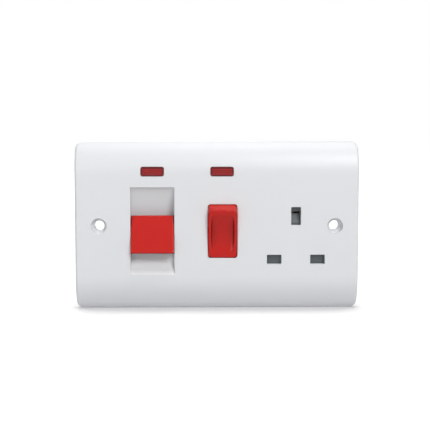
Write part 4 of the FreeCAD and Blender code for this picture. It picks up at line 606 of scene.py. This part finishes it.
def make_screws(frame, looks):
    """Threaded screws in place of the plain ones."""
    for node, places, radius, head, pitch, recess in SCREWS:
        low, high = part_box(node)
        seat = high[1] - HEAD_HEIGHT
        group = bmesh.new()
        for x, z in places:
            screw = bmesh.new()
            point = POINT_LENGTH if recess == "cross" else 0.0
            thread(screw, radius, pitch, low[1], seat + HEAD_OVERLAP, point)
            if recess == "cross":
                cross_head(screw, head, seat, high[1])
            else:
                slotted_head(screw, head, seat, high[1])
            turn = Matrix.Rotation(math.radians(SCREW_TURN * (x + 2.0 * z)), 4, "Y")
            bmesh.ops.transform(screw, matrix=turn, verts=screw.verts)
            bmesh.ops.translate(screw, vec=(x, 0.0, z), verts=screw.verts)
            bmesh.ops.recalc_face_normals(screw, faces=screw.faces)
            add_to(group, screw)
        finished(
            frame, group, node.replace("screws", "threaded_screws"), [looks["plated_screw"]],
            [node], node,
        )


def make_springs(frame, looks):
    """Round-wire springs in place of the many-sided ones."""
    for node, foot, way, radius, wire, length, turns, joint, travel in SPRINGS:
        bm = bmesh.new()
        coil(bm, radius, wire, length, turns)
        turn = Vector((0.0, 1.0, 0.0)).rotation_difference(Vector(way)).to_matrix().to_4x4()
        bmesh.ops.transform(bm, matrix=Matrix.Translation(foot) @ turn, verts=bm.verts)
        piece = finished(
            frame, bm, node + "_wire", [looks["spring_steel"]], [node], node)
        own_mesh(piece)


def along_x(bm, middle):
    """Turn what was made about the Y axis to lie along X at a place."""
    turn = Matrix.Rotation(-math.pi / 2, 4, "Z")
    bmesh.ops.transform(bm, matrix=Matrix.Translation(middle) @ turn, verts=bm.verts)


def lying_box(node):
    """The middle, half length and radius of a node that lies along X."""
    low, high = (Vector(corner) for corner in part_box(node))
    return (low + high) / 2, (high.x - low.x) / 2, (high.z - low.z) / 2


def make_glass(frame, looks, window):
    """A hollow glass with a drawn-out tip."""
    node = window + "_neon_lamp"
    middle, half, radius = lying_box(node)
    outer = [
        (-half, radius * 0.45), (-half + 0.0004, radius * 0.70),
        (-half + 0.0012, radius * 0.94), (-half + 0.0020, radius),
        (half - 0.0026, radius), (half - 0.0014, radius * 0.84),
        (half - 0.0007, radius * 0.52), (half - 0.0004, radius * 0.24), (half, radius * 0.08),
    ]
    inner = [
        (along * GLASS_HOLLOW_LENGTH, max(GLASS_HOLLOW_TIP, reach - GLASS_WALL))
        for along, reach in outer[1:-2]
    ]
    bm = bmesh.new()
    turned(bm, outer, sides=32)
    turned(bm, inner, sides=32)
    along_x(bm, middle)
    finished(
        frame, bm, window + "_neon_glass", [looks["lamp_glass"]], [node], node)


def make_electrodes(frame, looks, window):
    """Two rods side by side in the glass."""
    node = window + "_neon_lamp"
    middle, half, _radius = lying_box(node)
    bm = bmesh.new()
    for side in (-1.0, 1.0):
        rod = bmesh.new()
        turned(rod, [(-half + ROD_FOOT, ROD_RADIUS), (half - ROD_TIP, ROD_RADIUS)], sides=12)
        bmesh.ops.translate(rod, vec=(0.0, 0.0, side * ROD_OFFSET), verts=rod.verts)
        add_to(bm, rod)
    along_x(bm, middle)
    finished(
        frame, bm, window + "_neon_electrodes", [looks["spring_steel"]], [], node)


def make_resistor(frame, looks, window):
    """A resistor with thicker ends and coloured bands."""
    node = window + "_neon_resistor"
    middle, half, radius = lying_box(node)
    profile = [(along * half, reach * radius) for along, reach, _look in RESISTOR_OUTLINE]
    bm = bmesh.new()
    turned(bm, profile, sides=28, looks=[look for _along, _reach, look in RESISTOR_OUTLINE])
    along_x(bm, middle)
    lacquers = [looks["resistor_body"]] + looks["bands"]
    finished(
        frame, bm, window + "_neon_banded_resistor", lacquers, [node], node)


def make_neons(frame, looks):
    """The lamp and the resistor behind each window."""
    for window in ("cooker", "socket"):
        make_glass(frame, looks, window)
        make_electrodes(frame, looks, window)
        make_resistor(frame, looks, window)


def seen_rays(tree):
    """1 for rays from the camera, a reflection or clear plastic."""
    path = tree.nodes.new("ShaderNodeLightPath")
    seen = path.outputs["Is Camera Ray"]
    for kind in ("Is Glossy Ray", "Is Transmission Ray"):
        either = tree.nodes.new("ShaderNodeMath")
        either.operation = "MAXIMUM"
        tree.links.new(seen, either.inputs[0])
        tree.links.new(path.outputs[kind], either.inputs[1])
        seen = either.outputs[0]
    return seen


def mix_shaders(tree, amount, first, second):
    """A shader between two others."""
    mix = tree.nodes.new("ShaderNodeMixShader")
    tree.links.new(amount, mix.inputs[0])
    tree.links.new(first, mix.inputs[1])
    tree.links.new(second, mix.inputs[2])
    return mix.outputs[0]


def glow_where_seen(tree, shaded, color, level, share):
    """Mix in a share of a glow that only the camera, reflections and clear plastic see."""
    amount = tree.nodes.new("ShaderNodeMath")
    amount.operation = "MULTIPLY"
    amount.inputs[1].default_value = share
    tree.links.new(seen_rays(tree), amount.inputs[0])
    glow = tree.nodes.new("ShaderNodeEmission")
    tree.links.new(color, glow.inputs["Color"])
    glow.inputs["Strength"].default_value = level
    return mix_shaders(tree, amount.outputs[0], shaded, glow.outputs[0])


def floor_look():
    """Pale and matte, with a painted contact shadow near what stands on it."""
    material = bpy.data.materials.new("floor_look")
    material.use_nodes = True
    tree = material.node_tree
    tree.nodes.clear()
    out = tree.nodes.new("ShaderNodeOutputMaterial")
    matte = tree.nodes.new("ShaderNodeBsdfDiffuse")
    matte.inputs["Color"].default_value = (*FLOOR_GREY, 1.0)
    # Painted shadow: the glow's colour goes down near what stands on it.
    shade = spread(tree, near_walls(tree, CONTACT_REACH), first=0.5, last=0.95)
    painted_contact_shadow = tint(tree, shade, CONTACT_SHADE, WHITE)
    seen = glow_where_seen(tree, matte.outputs[0], painted_contact_shadow, FLOOR_GLOW, GLOW_SHARE)
    tree.links.new(seen, out.inputs["Surface"])
    return material


def make_floor():
    """A wide pale floor that keeps the object's shadow."""
    half = FLOOR_SIZE / 2.0
    mesh = bpy.data.meshes.new("floor")
    outline = [(-half, -half, 0.0), (half, -half, 0.0), (half, half, 0.0), (-half, half, 0.0)]
    mesh.from_pydata(outline, [], [(0, 1, 2, 3)])
    mesh.materials.append(floor_look())
    floor = bpy.data.objects.new("floor", mesh)
    floor.location = (0.0, 0.0, FLOOR_Z)
    bpy.context.scene.collection.objects.link(floor)


def background(tree, color, level):
    """An even light of that colour from all round."""
    node = tree.nodes.new("ShaderNodeBackground")
    node.inputs["Color"].default_value = (*color, 1.0)
    node.inputs["Strength"].default_value = level
    return node.outputs[0]


def make_world():
    """An even pale surround that shows as white, and as white in what is glossy or clear."""
    world = bpy.data.worlds.new("surround")
    world.use_nodes = True
    bpy.context.scene.world = world
    tree = world.node_tree
    tree.nodes.clear()
    out = tree.nodes.new("ShaderNodeOutputWorld")
    soft = background(tree, WORLD_COLOR, WORLD_LEVEL)
    plain = background(tree, WHITE, 1.0)
    tree.links.new(mix_shaders(tree, seen_rays(tree), soft, plain), out.inputs["Surface"])


def make_lamps():
    """Soft square lamps that face the object."""
    for name, place, size, watts in LAMPS:
        light = bpy.data.lights.new(name, "AREA")
        light.shape = "SQUARE"
        light.size = size
        light.energy = watts
        lamp = bpy.data.objects.new(name, light)
        lamp.location = place
        lamp.rotation_euler = (AIM - Vector(place)).to_track_quat("-Z", "Y").to_euler()
        bpy.context.scene.collection.objects.link(lamp)


def make_camera():
    """The photograph's camera."""
    data = bpy.data.cameras.new("camera")
    data.sensor_width = SENSOR_MM
    data.lens = SENSOR_MM * CAMERA_OFFSET.length / VIEW_WIDTH
    data.clip_start = 0.01
    data.clip_end = 20.0
    camera = bpy.data.objects.new("camera", data)
    camera.location = AIM + CAMERA_OFFSET
    camera.rotation_euler = (-CAMERA_OFFSET).to_track_quat("-Z", "Y").to_euler()
    bpy.context.scene.collection.objects.link(camera)
    bpy.context.scene.camera = camera


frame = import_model()
make_camera()
bpy.context.scene.view_settings.view_transform = "Standard"
looks = make_looks()
dress_nodes(frame, looks)
make_screws(frame, looks)
make_springs(frame, looks)
make_neons(frame, looks)
make_world()
make_lamps()
make_floor()
